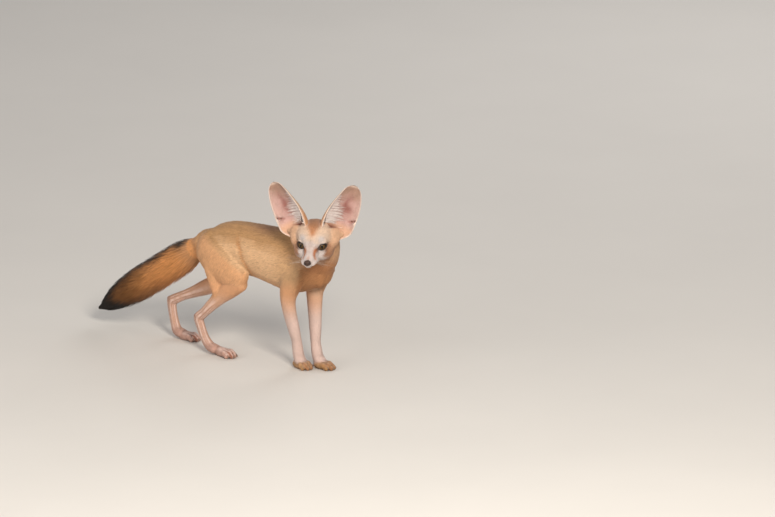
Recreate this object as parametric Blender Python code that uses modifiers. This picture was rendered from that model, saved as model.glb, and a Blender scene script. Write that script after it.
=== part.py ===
# A fennec fox at life size, standing with its head turned to its right.
# The fox faces +X, its left side is +Y, and its paws stand on Z = 0. Tables are in millimetres.

import math
import random

import bmesh
import bpy
import numpy as np
from mathutils import Matrix, Vector

# Driving sizes
MM = 0.001  # one millimetre in metres
GAP = 0.3  # left between pieces that touch
BODY_VOXEL = 1.7  # grain at which the flesh is fused
HEAD_VOXEL = 1.05
PAW_VOXEL = 1.1
SOFTENING = 8  # rounds of smoothing after fusing
BODY_TRIANGLES = 3020
HEAD_TRIANGLES = 2360
PAW_TRIANGLES = 400
MARGIN = 4.0  # kept past a parting until the flesh is thinned
PAW_SINK = 1.1  # how far the pads reach under the floor before they are cut flat

# The head's own frame starts midway between the eyes: x along the muzzle, y to its left, z up
HEAD_PLACE = (152.0, -54.5, 221.0)
HEAD_TURN_DEG = -61.0
HEAD_NOD_DEG = 3.0
HEAD_ROLL_DEG = 2.0

# Each loft: rows of x, y, z, half width, half depth
TRUNK = {
    "barrel": [
        (-122, 0, 166, 13, 15),
        (-104, 0, 169, 25, 27),
        (-80, 0, 168, 32, 36),
        (-45, 0, 176, 33, 42),
        (0, 0, 177, 33, 44),
        (40, 0, 174, 34, 48),
        (75, 0, 170, 33, 51),
        (100, 3, 166, 31, 43),
        (119, 6, 163, 25, 31),
    ],
    "neck": [
        (74, 0, 178, 30, 40),
        (98, 3, 182, 31, 40),
        (113, 6, 188, 31, 38),
        (120, 6, 198, 30, 35),
        (126, 3, 211, 27, 31),
        (127, -5, 222, 25, 27),
    ],
    "tail_base": [(-108, 0, 167, 19, 20), (-150, 0, 143, 18, 18)],
    "right_thigh": [
        (-90, -14, 174, 18, 33),
        (-64, -23, 160, 17, 36),
        (-38, -27, 147, 14, 31),
        (-12, -28, 134, 11.5, 19),
    ],
    "right_ham": [
        (-82, -16, 170, 14, 20),
        (-71, -25, 145, 14, 18),
        (-63, -27, 120, 11, 15),
        (-58, -26, 100, 9, 12),
    ],
    "right_shank": [
        (-14, -28, 128, 11.5, 16),
        (-34, -27.5, 114, 11, 16),
        (-52, -26, 101, 9.5, 14),
        (-73, -25, 82, 8, 10.5),
        (-91, -23.5, 65, 7, 8.5),
        (-103, -23, 55, 7, 9),
    ],
    "left_thigh": [
        (-94, 13, 174, 17, 33),
        (-96, 22, 150, 16, 32),
        (-96, 27, 128, 14, 28),
        (-92, 28, 110, 12, 18),
    ],
    "left_shank": [
        (-90, 28, 107, 11.5, 17),
        (-112, 27, 97, 11, 15),
        (-131, 25.5, 88, 9.5, 13),
        (-152, 24.5, 78, 8, 10),
        (-172, 23, 69, 7, 8.3),
        (-192, 21, 59, 7, 9),
    ],
}

# The lower part of each leg, which is fused with its paw too
LOWER_LEGS = {
    "right_fore": [
        (98, -18, 170, 13, 24),
        (88, -23, 147, 13, 21),
        (81, -24, 126, 12, 17),
        (79, -23, 110, 10.5, 13),
        (81, -20.5, 90, 9.3, 11),
        (85.5, -17, 66, 8.5, 9.8),
        (89, -14, 46, 8, 9),
        (90, -12.5, 33, 8.6, 9.4),
        (91, -11, 20, 9, 9.3),
        (95, -10, 10, 10, 9),
    ],
    "left_fore": [
        (113, 22, 170, 14, 26),
        (103, 24, 146, 13, 21),
        (97, 23.5, 124, 12, 17),
        (98, 21.5, 107, 10.5, 13.3),
        (101, 18.5, 84, 9.3, 11),
        (104, 15.5, 60, 8.5, 9.8),
        (106, 13.5, 42, 8, 9),
        (109, 12, 30, 8.6, 9.3),
        (112.5, 11, 18, 9, 9.3),
        (120, 10, 10, 10, 9),
    ],
    "right_hind": [
        (-105, -23, 54, 6.4, 8.6),
        (-98, -25, 41, 6.3, 8.5),
        (-88, -27, 24, 6.5, 8),
        (-76, -28.5, 12, 8, 8.5),
        (-64, -29, 9, 10.5, 7.5),
    ],
    "left_hind": [
        (-195, 21, 58, 6.4, 8.6),
        (-190, 18, 42, 6.3, 8.3),
        (-184, 15.5, 26, 6.5, 7.8),
        (-177, 14, 12, 8, 8.5),
        (-166, 13.5, 9, 10.5, 7.5),
    ],
}
ELBOWS = {
    "right_elbow": [(70, -23, 119, 4, 5), (77, -23, 111, 7, 8)],
    "left_elbow": [(88, 24, 119, 4, 5), (95, 23, 111, 7, 9)],
    "right_heel": [(-110, -23, 56, 3.6, 4), (-104, -23, 49, 5.5, 6)],
    "left_heel": [(-200, 21, 61, 3.6, 4), (-193, 21, 53, 5.5, 6)],
}

# The skull's lofts in the head's own frame
SKULL = {
    "cranium": [
        (-62, 0, 2, 14, 14),
        (-52, 0, 5, 25, 22),
        (-36, 0, 7.5, 30, 26),
        (-18, 0, 7.5, 28, 24.5),
        (-4, 0, 3.5, 22, 19),
        (6, 0, -2, 16, 15.5),
    ],
    "muzzle": [
        (-8, 0, -8, 19, 18),
        (6, 0, -10.5, 13.5, 14.5),
        (20, 0, -13.8, 10.6, 11.8),
        (31, 0, -16.8, 9.4, 9),
        (38.5, 0, -17.8, 7.6, 6.8),
    ],
    "chin": [
        (-14, 0, -22, 16, 11),
        (6, 0, -23.5, 11, 8.5),
        (22, 0, -24.2, 7.6, 5.3),
        (32, 0, -24.2, 5.8, 3.9),
    ],
}
# The same for what the head has on both sides
SKULL_PAIRS = {
    "cheek": [
        (4, 10, -13, 7, 8),
        (-12, 18.5, -13, 11, 13.5),
        (-27, 21.5, -11, 11.5, 16),
        (-46, 18, -7, 11, 16),
    ],
    "jowl": [(-13, 14, -22, 7, 6), (-24, 17.5, -24, 8, 7.5), (-40, 14, -22, 9, 9)],
    "ear_root": [(-29, 14, 11, 15, 12), (-32, 26, 10.5, 14, 12), (-36, 36, 9.5, 10, 10.5), (-37, 41, 9.5, 6, 7)],
    "temple": [(-22, 20, -8, 12, 13), (-26, 28, 0, 11, 12), (-31, 33, 4, 8, 9.5)],
    "brow": [(3, 12, 9, 4.5, 4), (-6, 19, 10, 5.5, 4.5)],
    "lip": [(16, 8, -17, 6.5, 7), (24, 7.4, -18.5, 6.5, 6.3), (33, 5.8, -19.5, 5.8, 5.2)],
    "lid": [(-9, 13.4, 0, 10.4, 10.4), (-5.8, 14.8, 0, 10.2, 10.2)],
}

# Eyes, in the head's frame
EYE_RADIUS = 8.4
EYE_GRID = (16, 9)  # faces round the ball and from pole to pole
EYE_PLACE = (-5.4, 14.6, 0.0)
EYE_OUT_DEG = 17.0
EYE_UP_DEG = -1.0
EYE_SLANT_DEG = 17.0  # inner corner lower
EYE_OPENING = (9.0, 5.0)  # half length, half height
EYE_FLARE = 1.08  # how much wider the opening is 20 mm out from the eye's middle

NOSE_PLACE = (41.5, 0, -15.4)
NOSE_SIZE = (4.6, 5.6, 4.5)
NOSTRIL_PLACE = (4.1, 3.0, -0.4)  # from the middle of the nose
NOSTRIL_RADIUS = 1.7
MOUTH_HEIGHT = -22.6
MOUTH_CORNER = 11.0

# Paws: x, y of the middle of the pad, heading in degrees, length of the toes
PAWS = {
    "right_fore": (98, -10, -8, 19),
    "left_fore": (127, 9.6, 4, 19),
    "right_hind": (-44, -29.5, -6, 21),
    "left_hind": (-152, 13.5, 4, 20),
}
TOE_SIDES = (-8.6, -3.1, 3.1, 8.6)
TOE_REACH = (0.68, 1.0, 1.0, 0.68)
PAD = [(-12, 0, 8, 8.5, 8), (-2, 0, 7.5, 11, 7.5), (5, 0, 7, 9.5, 6.5)]
# Toe and claw rows: distance past the toe's tip, share of its side, height, half width, half depth
TOE_ROOT = (0.8, 8.5, 4.4, 4.8)  # the same at the middle of the pad
TOE = [(-8, 1, 7.6, 4.2, 5.0), (-3.5, 1.06, 5.0, 3.9, 4.7)]
CLAW = [(-3, 1.05, 6.8, 1.3, 1.6), (2, 1.1, 6.2, 1.0, 1.3), (5.5, 1.14, 4.0, 0.4, 0.4)]

# Tail: x, y, z, radius out to the tips of its coat
TAIL = [
    (-128, 0, 157.5, 18),
    (-140, 0, 150, 21),
    (-170, 0, 130, 24.5),
    (-210, 0, 104, 25),
    (-248, 0, 79, 23.5),
    (-282, 0, 57, 19),
    (-308, 0, 39.5, 12),
    (-325, 0, 28, 3),
]
# The core that the tail's locks grow from: distance from the root, share of the coat's radius
TAIL_CORE = [(0, 0.97), (5, 0.92), (14, 0.74), (28, 0.56), (60, 0.5), (130, 0.48), (196, 0.44), (214, 0.3)]
TAIL_LOCKS = {
    "seed": 7,
    "first": 3.0,  # distance of the first tier from the root
    "spacing": 31.0,
    "tiers": 6,
    "around": 6,
    "length": 70.0,
    "cover": 1.1,  # width against the share of the girth that each lock has
    "depth": 3.2,
    "root": 0.7,  # root and tip, as shares of the core's radius and of the coat's
    "tip": (0.86, 1.0),
    "sway": 0.16,  # how far a lock strays round the tail, in radians
    "stray": 0.15,  # spread of the roots round the tail, as a share of the room that each has
    "scatter": 0.4,  # spread of the roots along it, as a share of the spacing
    "uneven": 0.15,  # spread of the lengths
    "end": (-3.0, 3.0),  # how far past the last row the longest tips reach
}
LOCK_STATIONS = (0, 0.3, 0.64, 1)
LOCK_WIDTHS = (0.8, 1.0, 0.72)
LOCK_DEPTHS = (1.0, 0.8, 0.5)

# Ears, in the head's frame: height over the root, half width, shift to the outer side,
# depth of the cup, half angle of the fold
EAR_THICKNESS = 2.2
EAR_COLUMNS = 9
EAR_PLACE = (-27, 29.5, 20)
EAR_LEAN_DEG = {1: 21.5, -1: 28.0}  # outwards, left and right
EAR_FACING_DEG = 27.0  # outwards
EAR = [
    (-10, 18, 0, 12, 112),
    (3, 26.2, 3.3, 16.2, 104),
    (15, 27, 3.3, 17.5, 98),
    (31, 26.2, 4, 15.5, 91),
    (46, 23.6, 4.4, 12.5, 86),
    (60, 19.4, 4.4, 9.4, 82),
    (70.5, 15.2, 3.8, 6.5, 79),
    (78, 9.4, 3, 3.8, 76),
    (82, 3, 2.8, 1.6, 74),
]
# White locks along the inner margin of each ear, lying across the mouth of its cup
FRINGE = {
    "seed": 3,
    "rows": (4, 9),  # first and last row of the ear's grid that carries one
    "length": (17.0, 12.0),  # lowest and highest lock
    "width": 6.4,
    "depth": 1.5,
    "rise": 0.35,  # share of the length that the tip lies higher
    "dip": 3.0,  # how far the tip dips into the cup
    "arch": 1.5,  # how far its middle stands out of the cup
    "inset": 0.12,  # root, as a share of the way to the next column of the ear's grid
    "uneven": 0.15,  # spread of the lengths
    "stray": 0.12,  # spread of the rise
}

# Where the flesh parts, in order. Each region is a box with what lies past its planes taken off:
# lowest corner, highest corner, (point on the plane, way out of the region)
HEAD_REGION = ((-80, -70, -40), (70, 70, 80), [((-46, 0, 0), (-0.84, 0, -0.54))])
JAW_REGION = (
    (-20, -30, -60),
    (60, 30, MOUTH_HEIGHT),
    [((MOUTH_CORNER, 0, MOUTH_HEIGHT), (-0.82, 0, 0.57))],
)
BODY_REGIONS = {
    "neck": ((40, -80, 150), (220, 80, 280), [((104, 0, 201), (-0.65, 0, -0.76))]),
    "right_thigh": ((-135, -70, -20), (8, -1.5, 205), [((-50, -20, 150), (0, 0.9, 0.43))]),
    "left_thigh": ((-230, 1.5, -20), (-45, 70, 205), [((-95, 20, 150), (0, -0.9, 0.43))]),
    "right_foreleg": ((58, -70, -20), (116, -2, 180), [((85, -20, 141), (0, 0.75, 0.66))]),
    "left_foreleg": ((73, 2, -20), (135, 70, 180), [((105, 20, 141), (0, -0.75, 0.66))]),
}
# Node that is parted, new node, point on the plane, way out of the new node
LIMB_CUTS = [
    ("right_thigh", "right_shank", (-45, -26, 111), (0.06, 0, 1)),
    ("left_thigh", "left_shank", (-96, 27, 107), (0.64, 0, 0.77)),
]
# Paw, node of the leg above it, node of the foot, point on the parting plane, way up out of the foot
FEET = [
    ("right_fore", "right_foreleg", "right_forefoot", (90, -12.5, 34), (0, 0, 1)),
    ("left_fore", "left_foreleg", "left_forefoot", (108, 12, 32), (-0.1, 0, 1)),
    ("right_hind", "right_shank", "right_hind_foot", (-101, -23, 49), (-0.15, 0, 1)),
    ("left_hind", "left_shank", "left_hind_foot", (-192, 20, 51), (-0.1, 0, 1)),
]
FAR = 400.0  # half width of a cutter that takes all on one side of a plane

FINISHES = {
    "face": ((0.78, 0.66, 0.53), 0.85),
    "ear": ((0.80, 0.60, 0.50), 0.8),
    "coat": ((0.62, 0.42, 0.25), 0.85),
    "leg": ((0.76, 0.58, 0.44), 0.85),
    "tail": ((0.50, 0.28, 0.13), 0.9),
    "eye": ((0.03, 0.02, 0.01), 0.15),
    "nose": ((0.04, 0.025, 0.02), 0.4),
}
FINISH_OF = {"head": "face", "lower_jaw": "face", "torso": "coat", "neck": "coat", "tail": "tail", "nose": "nose"}


def material(name, colour, roughness):
    made = bpy.data.materials.new(name)
    made.use_nodes = True
    shader = made.node_tree.nodes["Principled BSDF"]
    shader.inputs["Base Color"].default_value = (*colour, 1)
    shader.inputs["Roughness"].default_value = roughness
    shader.inputs["Metallic"].default_value = 0
    return made


def new_object(name, mesh):
    """An object from a bmesh, which is freed."""
    bmesh.ops.recalc_face_normals(mesh, faces=mesh.faces)
    data = bpy.data.meshes.new(name)
    mesh.to_mesh(data)
    mesh.free()
    made = bpy.data.objects.new(name, data)
    bpy.context.scene.collection.objects.link(made)
    return made


def smooth_rows(rows, steps):
    """Rows read along a Catmull-Rom curve, steps to a span."""
    table = np.array(rows, float)
    table = np.vstack([2 * table[0] - table[1], table, 2 * table[-1] - table[-2]])
    out = []
    for i in range(1, len(table) - 2):
        a, b, c, d = table[i - 1 : i + 3]
        for t in np.arange(steps) / steps:
            out.append(0.5 * (2 * b + (c - a) * t + (2 * a - 5 * b + 4 * c - d) * t**2
                              + (3 * b - a - 3 * c + d) * t**3))
    out.append(table[-2])
    return np.array(out)


def with_round_ends(rows, tangents):
    """The rows with a half ball of rings added at each end."""
    caps = []
    for end, sign in ((0, -1), (-1, 1)):
        reach = min(rows[end][3], rows[end][4]) * 0.95
        cap = []
        for angle in (30, 58, 80):
            ring = rows[end].copy()
            ring[:3] += sign * tangents[end] * reach * math.sin(math.radians(angle))
            ring[3:5] *= math.cos(math.radians(angle))
            cap.append((ring, tangents[end]))
        caps.append(cap)
    return caps[0][::-1] + list(zip(rows, tangents)) + caps[1]


def loft(name, rows, side=(0, 1, 0), sides=14, steps=3, round_ends=True):
    """A closed body through oval sections; side is the way that the half width points."""
    rows = smooth_rows(rows, steps)
    tangents = np.gradient(rows[:, :3], axis=0)
    tangents /= np.linalg.norm(tangents, axis=1)[:, None]
    mesh = bmesh.new()
    rings = []
    for row, tangent in with_round_ends(rows, tangents) if round_ends else zip(rows, tangents):
        tangent = Vector(tangent)
        across = Vector(side)
        across = (across - across.dot(tangent) * tangent).normalized()
        up = tangent.cross(across)
        centre = Vector(row[:3])
        ring = []
        for k in range(sides):
            angle = 2 * math.pi * k / sides
            point = centre + across * row[3] * math.cos(angle) + up * row[4] * math.sin(angle)
            ring.append(mesh.verts.new(point * MM))
        rings.append(ring)
    for low, high in zip(rings, rings[1:]):
        for k in range(sides):
            mesh.faces.new((low[k], low[(k + 1) % sides], high[(k + 1) % sides], high[k]))
    mesh.faces.new(rings[0][::-1])
    mesh.faces.new(rings[-1])
    return new_object(name, mesh)


def mirrored(rows):
    return [(x, -y, *rest) for x, y, *rest in rows]


def head_matrix():
    turn = Matrix.Rotation(math.radians(HEAD_TURN_DEG), 4, "Z")
    nod = Matrix.Rotation(math.radians(HEAD_NOD_DEG), 4, "Y")
    roll = Matrix.Rotation(math.radians(-HEAD_ROLL_DEG), 4, "X")
    return Matrix.Translation(Vector(HEAD_PLACE) * MM) @ turn @ nod @ roll


def moved(obj, matrix):
    obj.data.transform(matrix)
    return obj


def settle(obj):
    """Applies the object's modifiers."""
    graph = bpy.context.evaluated_depsgraph_get()
    data = bpy.data.meshes.new_from_object(obj.evaluated_get(graph))
    obj.modifiers.clear()
    obj.data = data
    return obj


def fuse(name, pieces, voxel):
    """One skin round all the pieces."""
    mesh = bmesh.new()
    for piece in pieces:
        mesh.from_mesh(piece.data)
        bpy.data.objects.remove(piece)
    made = new_object(name, mesh)
    remesh = made.modifiers.new("fuse", "REMESH")
    remesh.mode = "VOXEL"
    remesh.voxel_size = voxel * MM
    soften = made.modifiers.new("soften", "SMOOTH")
    soften.factor = 0.5
    soften.iterations = SOFTENING
    return settle(made)


def thin(obj, triangles):
    """Thins the mesh to about this many triangles, least where it curves most."""
    obj.data.calc_loop_triangles()
    step = obj.modifiers.new("thin", "DECIMATE")
    step.ratio = triangles / len(obj.data.loop_triangles)
    return settle(obj)


def combine(obj, others, operation):
    """A Boolean of obj with a collection of closed meshes, which are then removed."""
    group = bpy.data.collections.new("others")
    for other in others:
        group.objects.link(other)
    step = obj.modifiers.new("combine", "BOOLEAN")
    step.operation = operation
    step.operand_type = "COLLECTION"
    step.collection = group
    step.solver = "EXACT"
    settle(obj)
    for other in others:
        bpy.data.objects.remove(other)
    bpy.data.collections.remove(group)
    return obj


def copy_of(obj, name):
    made = obj.copy()
    made.data = obj.data.copy()
    made.name = name
    bpy.context.scene.collection.objects.link(made)
    return made


def keep_largest(obj):
    """Drops all but the largest closed surface."""
    mesh = bmesh.new()
    mesh.from_mesh(obj.data)
    left, bodies = set(mesh.verts), []
    while left:
        stack, found = [left.pop()], []
        while stack:
            vertex = stack.pop()
            found.append(vertex)
            for edge in vertex.link_edges:
                other = edge.other_vert(vertex)
                if other in left:
                    left.remove(other)
                    stack.append(other)
        bodies.append(found)
    bodies.sort(key=lambda body: -sum(face.calc_area() for vertex in body for face in vertex.link_faces))
    for body in bodies[1:]:
        bmesh.ops.delete(mesh, geom=body, context="VERTS")
    mesh.to_mesh(obj.data)
    mesh.free()
    return obj


def region(low, high, planes, place=Matrix.Identity(4), grow=0.0):
    """A closed cutter: the box from low to high, with what lies past each plane taken off."""
    mesh = bmesh.new()
    bmesh.ops.create_cube(mesh, size=1)
    size = [b - a + 2 * grow for a, b in zip(low, high)]
    centre = [(a + b) / 2 for a, b in zip(low, high)]
    mesh.transform(Matrix.Translation(centre) @ Matrix.Diagonal((*size, 1)))
    for point, normal in planes:
        normal = Vector(normal).normalized()
        everything = mesh.verts[:] + mesh.edges[:] + mesh.faces[:]
        cut = bmesh.ops.bisect_plane(mesh, geom=everything, plane_co=Vector(point) + normal * grow,
                                     plane_no=normal, clear_outer=True)
        edges = [item for item in cut["geom_cut"] if isinstance(item, bmesh.types.BMEdge)]
        bmesh.ops.holes_fill(mesh, edges=edges)
    mesh.transform(place @ Matrix.Scale(MM, 4))
    made = new_object("cutter", mesh)
    made.hide_render = True
    made.display_type = "WIRE"
    return made


def half_space(point, normal, grow=0.0):
    """A cutter for all that lies behind the plane."""
    low = [value - FAR for value in point]
    high = [value + FAR for value in point]
    return region(low, high, [(point, normal)], grow=grow)


def part_off(rest, name, low, high, planes, place=Matrix.Identity(4)):
    """Takes the region out of rest as a node of its own, with the gap left round it."""
    piece = copy_of(rest, name)
    combine(piece, [region(low, high, planes, place)], "INTERSECT")
    combine(rest, [region(low, high, planes, place, GAP)], "DIFFERENCE")
    keep_largest(rest)
    return keep_largest(piece)


def swollen(obj, distance):
    """A copy with its surface moved out."""
    made = copy_of(obj, "swollen")
    mesh = bmesh.new()
    mesh.from_mesh(made.data)
    mesh.normal_update()
    places = [vertex.co + vertex.normal * distance * MM for vertex in mesh.verts]
    for vertex, place in zip(mesh.verts, places):
        vertex.co = place
    mesh.to_mesh(made.data)
    mesh.free()
    return made


def ball(name, radii, place, across=18, rings=11):
    """An ellipsoid; place is the matrix of its own frame, in metres."""
    mesh = bmesh.new()
    bmesh.ops.create_uvsphere(mesh, u_segments=across, v_segments=rings, radius=1)
    mesh.transform(place @ Matrix.Diagonal((*(Vector(radii) * MM), 1)))
    bmesh.ops.triangulate(mesh, faces=mesh.faces)
    return new_object(name, mesh)


def lower_leg(paw):
    """The lofts of one lower leg with its elbow or heel."""
    side, end = paw.split("_")
    joint = f"{side}_elbow" if end == "fore" else f"{side}_heel"
    return [loft(paw, LOWER_LEGS[paw]), loft(joint, ELBOWS[joint])]


def paw_matrix(paw):
    x, y, heading, _ = PAWS[paw]
    return Matrix.Translation(Vector((x, y, -PAW_SINK)) * MM) @ Matrix.Rotation(math.radians(heading), 4, "Z")


def paw_pieces(paw):
    """The pad and four toes of one paw."""
    reach = PAWS[paw][3]
    pieces = [loft(f"{paw}_pad", PAD)]
    for side, share in zip(TOE_SIDES, TOE_REACH):
        tip = reach * share
        rows = [(tip + ahead, side * splay, *rest) for ahead, splay, *rest in TOE]
        rows.insert(0, (0, side * TOE_ROOT[0], *TOE_ROOT[1:]))
        pieces.append(loft(f"{paw}_toe", rows, sides=10))
    return [moved(piece, paw_matrix(paw)) for piece in pieces]


def claws(paw):
    """Four small curved claws of one paw, each rooted in its toe."""
    reach = PAWS[paw][3]
    made = []
    for side, share in zip(TOE_SIDES, TOE_REACH):
        tip = reach * share
        rows = [(tip + ahead, side * splay, *rest) for ahead, splay, *rest in CLAW]
        made.append(moved(loft(f"{paw}_claw", rows, sides=5, steps=1, round_ends=False), paw_matrix(paw)))
    return made


def foot(paw, name, point, normal):
    """One foot, from its parting plane down to flat soles, with its claws."""
    made = fuse(name, lower_leg(paw) + paw_pieces(paw), PAW_VOXEL)
    raised = Vector(point) + Vector(normal).normalized() * MARGIN
    combine(made, [half_space(raised, normal)], "INTERSECT")
    thin(made, PAW_TRIANGLES)
    combine(made, claws(paw), "UNION")
    combine(made, [half_space(point, normal)], "INTERSECT")
    combine(made, [half_space((0, 0, 0), (0, 0, 1))], "DIFFERENCE")
    return keep_largest(made)


def spread(draw, share):
    """A random factor up to this share away from 1."""
    return draw.uniform(1 - share, 1 + share)


def lock(path, across, width, depth):
    """A flat lock with its root at the first point of its path and its tip at the last."""
    mesh = bmesh.new()
    rings = []
    for i, (wide, deep) in enumerate(zip(LOCK_WIDTHS, LOCK_DEPTHS)):
        ahead = path[i + 1] - path[max(i - 1, 0)]
        side = (across[i] - across[i].project(ahead)).normalized() * width * wide / 2
        out = side.cross(ahead).normalized() * depth * deep / 2
        rings.append([mesh.verts.new((path[i] + step) * MM) for step in (side, out, -side, -out)])
    tip = mesh.verts.new(path[-1] * MM)
    for low, high in zip(rings, rings[1:]):
        for k in range(4):
            mesh.faces.new((low[k], low[k - 1], high[k - 1]))
            mesh.faces.new((low[k], high[k - 1], high[k]))
    for k in range(4):
        mesh.faces.new((rings[-1][k], rings[-1][k - 1], tip))
    mesh.faces.new(rings[0])
    return new_object("lock", mesh)


def ear_axes(side):
    """The ear's way up, the way its cup faces, its way out and its root, in the head's frame."""
    lean, facing = math.radians(EAR_LEAN_DEG[side]), math.radians(EAR_FACING_DEG)
    axis = Vector((-0.06, side * math.sin(lean), math.cos(lean))).normalized()
    front = Vector((math.cos(facing), side * math.sin(facing), 0))
    front = (front - front.dot(axis) * axis).normalized()
    outer = front.cross(axis) * -side
    return axis, front, outer, Vector((EAR_PLACE[0], side * EAR_PLACE[1], EAR_PLACE[2]))


def ear_grid(side, lift):
    """Points of one face of the ear. lift is the distance out from its middle sheet."""
    axis, front, outer, root = ear_axes(side)
    grid = []
    for height, width, shift, depth, fold in smooth_rows(EAR[:-2], 2).tolist() + EAR[-2:]:
        fold = math.radians(fold)
        half = width / math.sin(min(fold, math.pi / 2))
        row = []
        for u in np.linspace(-1, 1, EAR_COLUMNS):
            angle = u * fold
            away = Vector((math.sin(angle) / max(half, 1), -math.cos(angle) / max(depth, 1)))
            away = away.normalized() * lift
            sideways = shift + half * math.sin(angle) + away.x
            backwards = depth * (math.cos(angle) - math.cos(min(fold, math.pi / 2))) - away.y
            row.append(root + axis * height + outer * sideways - front * backwards)
        grid.append(row)
    return grid


def ear(name, side):
    """A thin cup: two faces joined round the rim."""
    mesh = bmesh.new()
    outer = [[mesh.verts.new(p * MM) for p in row] for row in ear_grid(side, EAR_THICKNESS / 2)]
    inner = [[mesh.verts.new(p * MM) for p in row] for row in ear_grid(side, -EAR_THICKNESS / 2)]
    rows, columns = len(outer), EAR_COLUMNS
    for i in range(rows - 1):
        for j in range(columns - 1):
            mesh.faces.new((outer[i][j], outer[i][j + 1], outer[i + 1][j + 1]))
            mesh.faces.new((outer[i][j], outer[i + 1][j + 1], outer[i + 1][j]))
            mesh.faces.new((inner[i][j], inner[i + 1][j + 1], inner[i][j + 1]))
            mesh.faces.new((inner[i][j], inner[i + 1][j], inner[i + 1][j + 1]))
    rim = [(i, 0) for i in range(rows)] + [(rows - 1, j) for j in range(1, columns)]
    rim += [(i, columns - 1) for i in range(rows - 2, -1, -1)] + [(0, j) for j in range(columns - 2, 0, -1)]
    for (i, j), (k, m) in zip(rim, rim[1:] + rim[:1]):
        mesh.faces.new((outer[i][j], inner[i][j], inner[k][m], outer[k][m]))
    return moved(combine(new_object(name, mesh), fringe(side), "UNION"), head_matrix())


def fringe(side):
    """The locks along one ear's inner margin."""
    axis, front, outer, _ = ear_axes(side)
    grid = ear_grid(side, 0)
    draw = random.Random(FRINGE["seed"] + side)
    first, last = FRINGE["rows"]
    locks = []
    for i in range(first, last + 1):
        share = (i - first) / (last - first)
        length = np.interp(share, (0, 1), FRINGE["length"]) * spread(draw, FRINGE["uneven"])
        root = grid[i][0].lerp(grid[i][1], FRINGE["inset"])
        rise = FRINGE["rise"] + draw.uniform(-FRINGE["stray"], FRINGE["stray"])
        path = []
        for t in LOCK_STATIONS:
            bend = math.sin(math.pi * t) * FRINGE["arch"] - FRINGE["dip"] * t * t
            path.append(root + (outer + axis * rise * t) * length * t + front * bend)
        locks.append(lock(path, [axis] * len(path), FRINGE["width"], FRINGE["depth"]))
    return locks


def eye_matrix(side):
    """The eye's frame: x out through the pupil, y along the opening, z up."""
    x, y, z = EYE_PLACE
    out = Matrix.Rotation(math.radians(side * EYE_OUT_DEG), 4, "Z")
    up = Matrix.Rotation(math.radians(-EYE_UP_DEG), 4, "Y")
    slant = Matrix.Rotation(math.radians(side * EYE_SLANT_DEG), 4, "X")
    return head_matrix() @ Matrix.Translation(Vector((x, side * y, z)) * MM) @ out @ up @ slant


def eye_opening(side, points=9):
    """The almond between the lids, as a prism from the middle of the eye outwards."""
    length, height = EYE_OPENING
    outline = []
    for sign in (1, -1):
        for k in range(points):
            t = 1 - 2 * k / points
            y = sign * t
            outline.append((y * length, sign * height * (1 - y * y) ** 0.75))
    mesh = bmesh.new()
    near = [mesh.verts.new(Vector((1, y, z)) * MM) for y, z in outline]
    far = [mesh.verts.new(Vector((20, y * EYE_FLARE, z * EYE_FLARE)) * MM) for y, z in outline]
    for k in range(len(outline)):
        other = (k + 1) % len(outline)
        mesh.faces.new((near[k], near[other], far[other], far[k]))
    mesh.faces.new(near[::-1])
    mesh.faces.new(far)
    return moved(new_object("opening", mesh), eye_matrix(side))


def nose(name, grow=0.0):
    """The pad at the tip of the muzzle, flatter on top, with its two nostrils."""
    place = head_matrix() @ Matrix.Translation(Vector(NOSE_PLACE) * MM)
    made = ball(name, [size + grow for size in NOSE_SIZE], place, across=14, rings=9)
    if grow:
        return made
    holes = []
    for side in (1, -1):
        x, y, z = NOSTRIL_PLACE
        turn = Matrix.Rotation(math.radians(side * 35), 4, "X")
        spot = place @ Matrix.Translation(Vector((x, side * y, z)) * MM) @ turn
        radii = (NOSTRIL_RADIUS * 1.2, NOSTRIL_RADIUS * 0.75, NOSTRIL_RADIUS)
        holes.append(ball("nostril", radii, spot, across=10, rings=6))
    return keep_largest(combine(made, holes, "DIFFERENCE"))


def skull_pieces():
    pieces = [loft(name, rows) for name, rows in SKULL.items()]
    for name, rows in SKULL_PAIRS.items():
        pieces += [loft(f"left_{name}", rows), loft(f"right_{name}", mirrored(rows))]
    return [moved(piece, head_matrix()) for piece in pieces]


def head_nodes():
    """The head, its lower jaw, nose, eyes and ears."""
    place = head_matrix()
    head = fuse("head", skull_pieces() + [loft("neck", TRUNK["neck"])], HEAD_VOXEL)
    combine(head, [region(*HEAD_REGION, place, MARGIN)], "INTERSECT")
    thin(head, HEAD_TRIANGLES)
    keep_largest(combine(head, [region(*HEAD_REGION, place)], "INTERSECT"))
    ears = [ear("left_ear", 1), ear("right_ear", -1)]
    for made in ears:
        keep_largest(combine(made, [swollen(head, GAP)], "DIFFERENCE"))
    for side in (1, -1):
        socket = ball("socket", [EYE_RADIUS + GAP] * 3, eye_matrix(side), *EYE_GRID)
        combine(head, [socket, eye_opening(side)], "DIFFERENCE")
    combine(head, [nose("nose_seat", GAP)], "DIFFERENCE")
    keep_largest(head)
    jaw = part_off(head, "lower_jaw", *JAW_REGION, place)
    eyes = [ball(name, [EYE_RADIUS] * 3, eye_matrix(side), *EYE_GRID)
            for name, side in (("left_eye", 1), ("right_eye", -1))]
    return [head, jaw, nose("nose"), *eyes, *ears]


def brush_outline(name):
    """The plain shape that the tail's coat fills."""
    return loft(name, [(*row, row[3]) for row in TAIL], sides=14, steps=2, round_ends=False)


def tail_line():
    """Points along the middle of the tail with their radius, and their distance from its root."""
    rows = smooth_rows(TAIL, 8)
    steps = np.linalg.norm(np.diff(rows[:, :3], axis=0), axis=1)
    return rows, np.concatenate([[0], np.cumsum(steps)])


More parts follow.
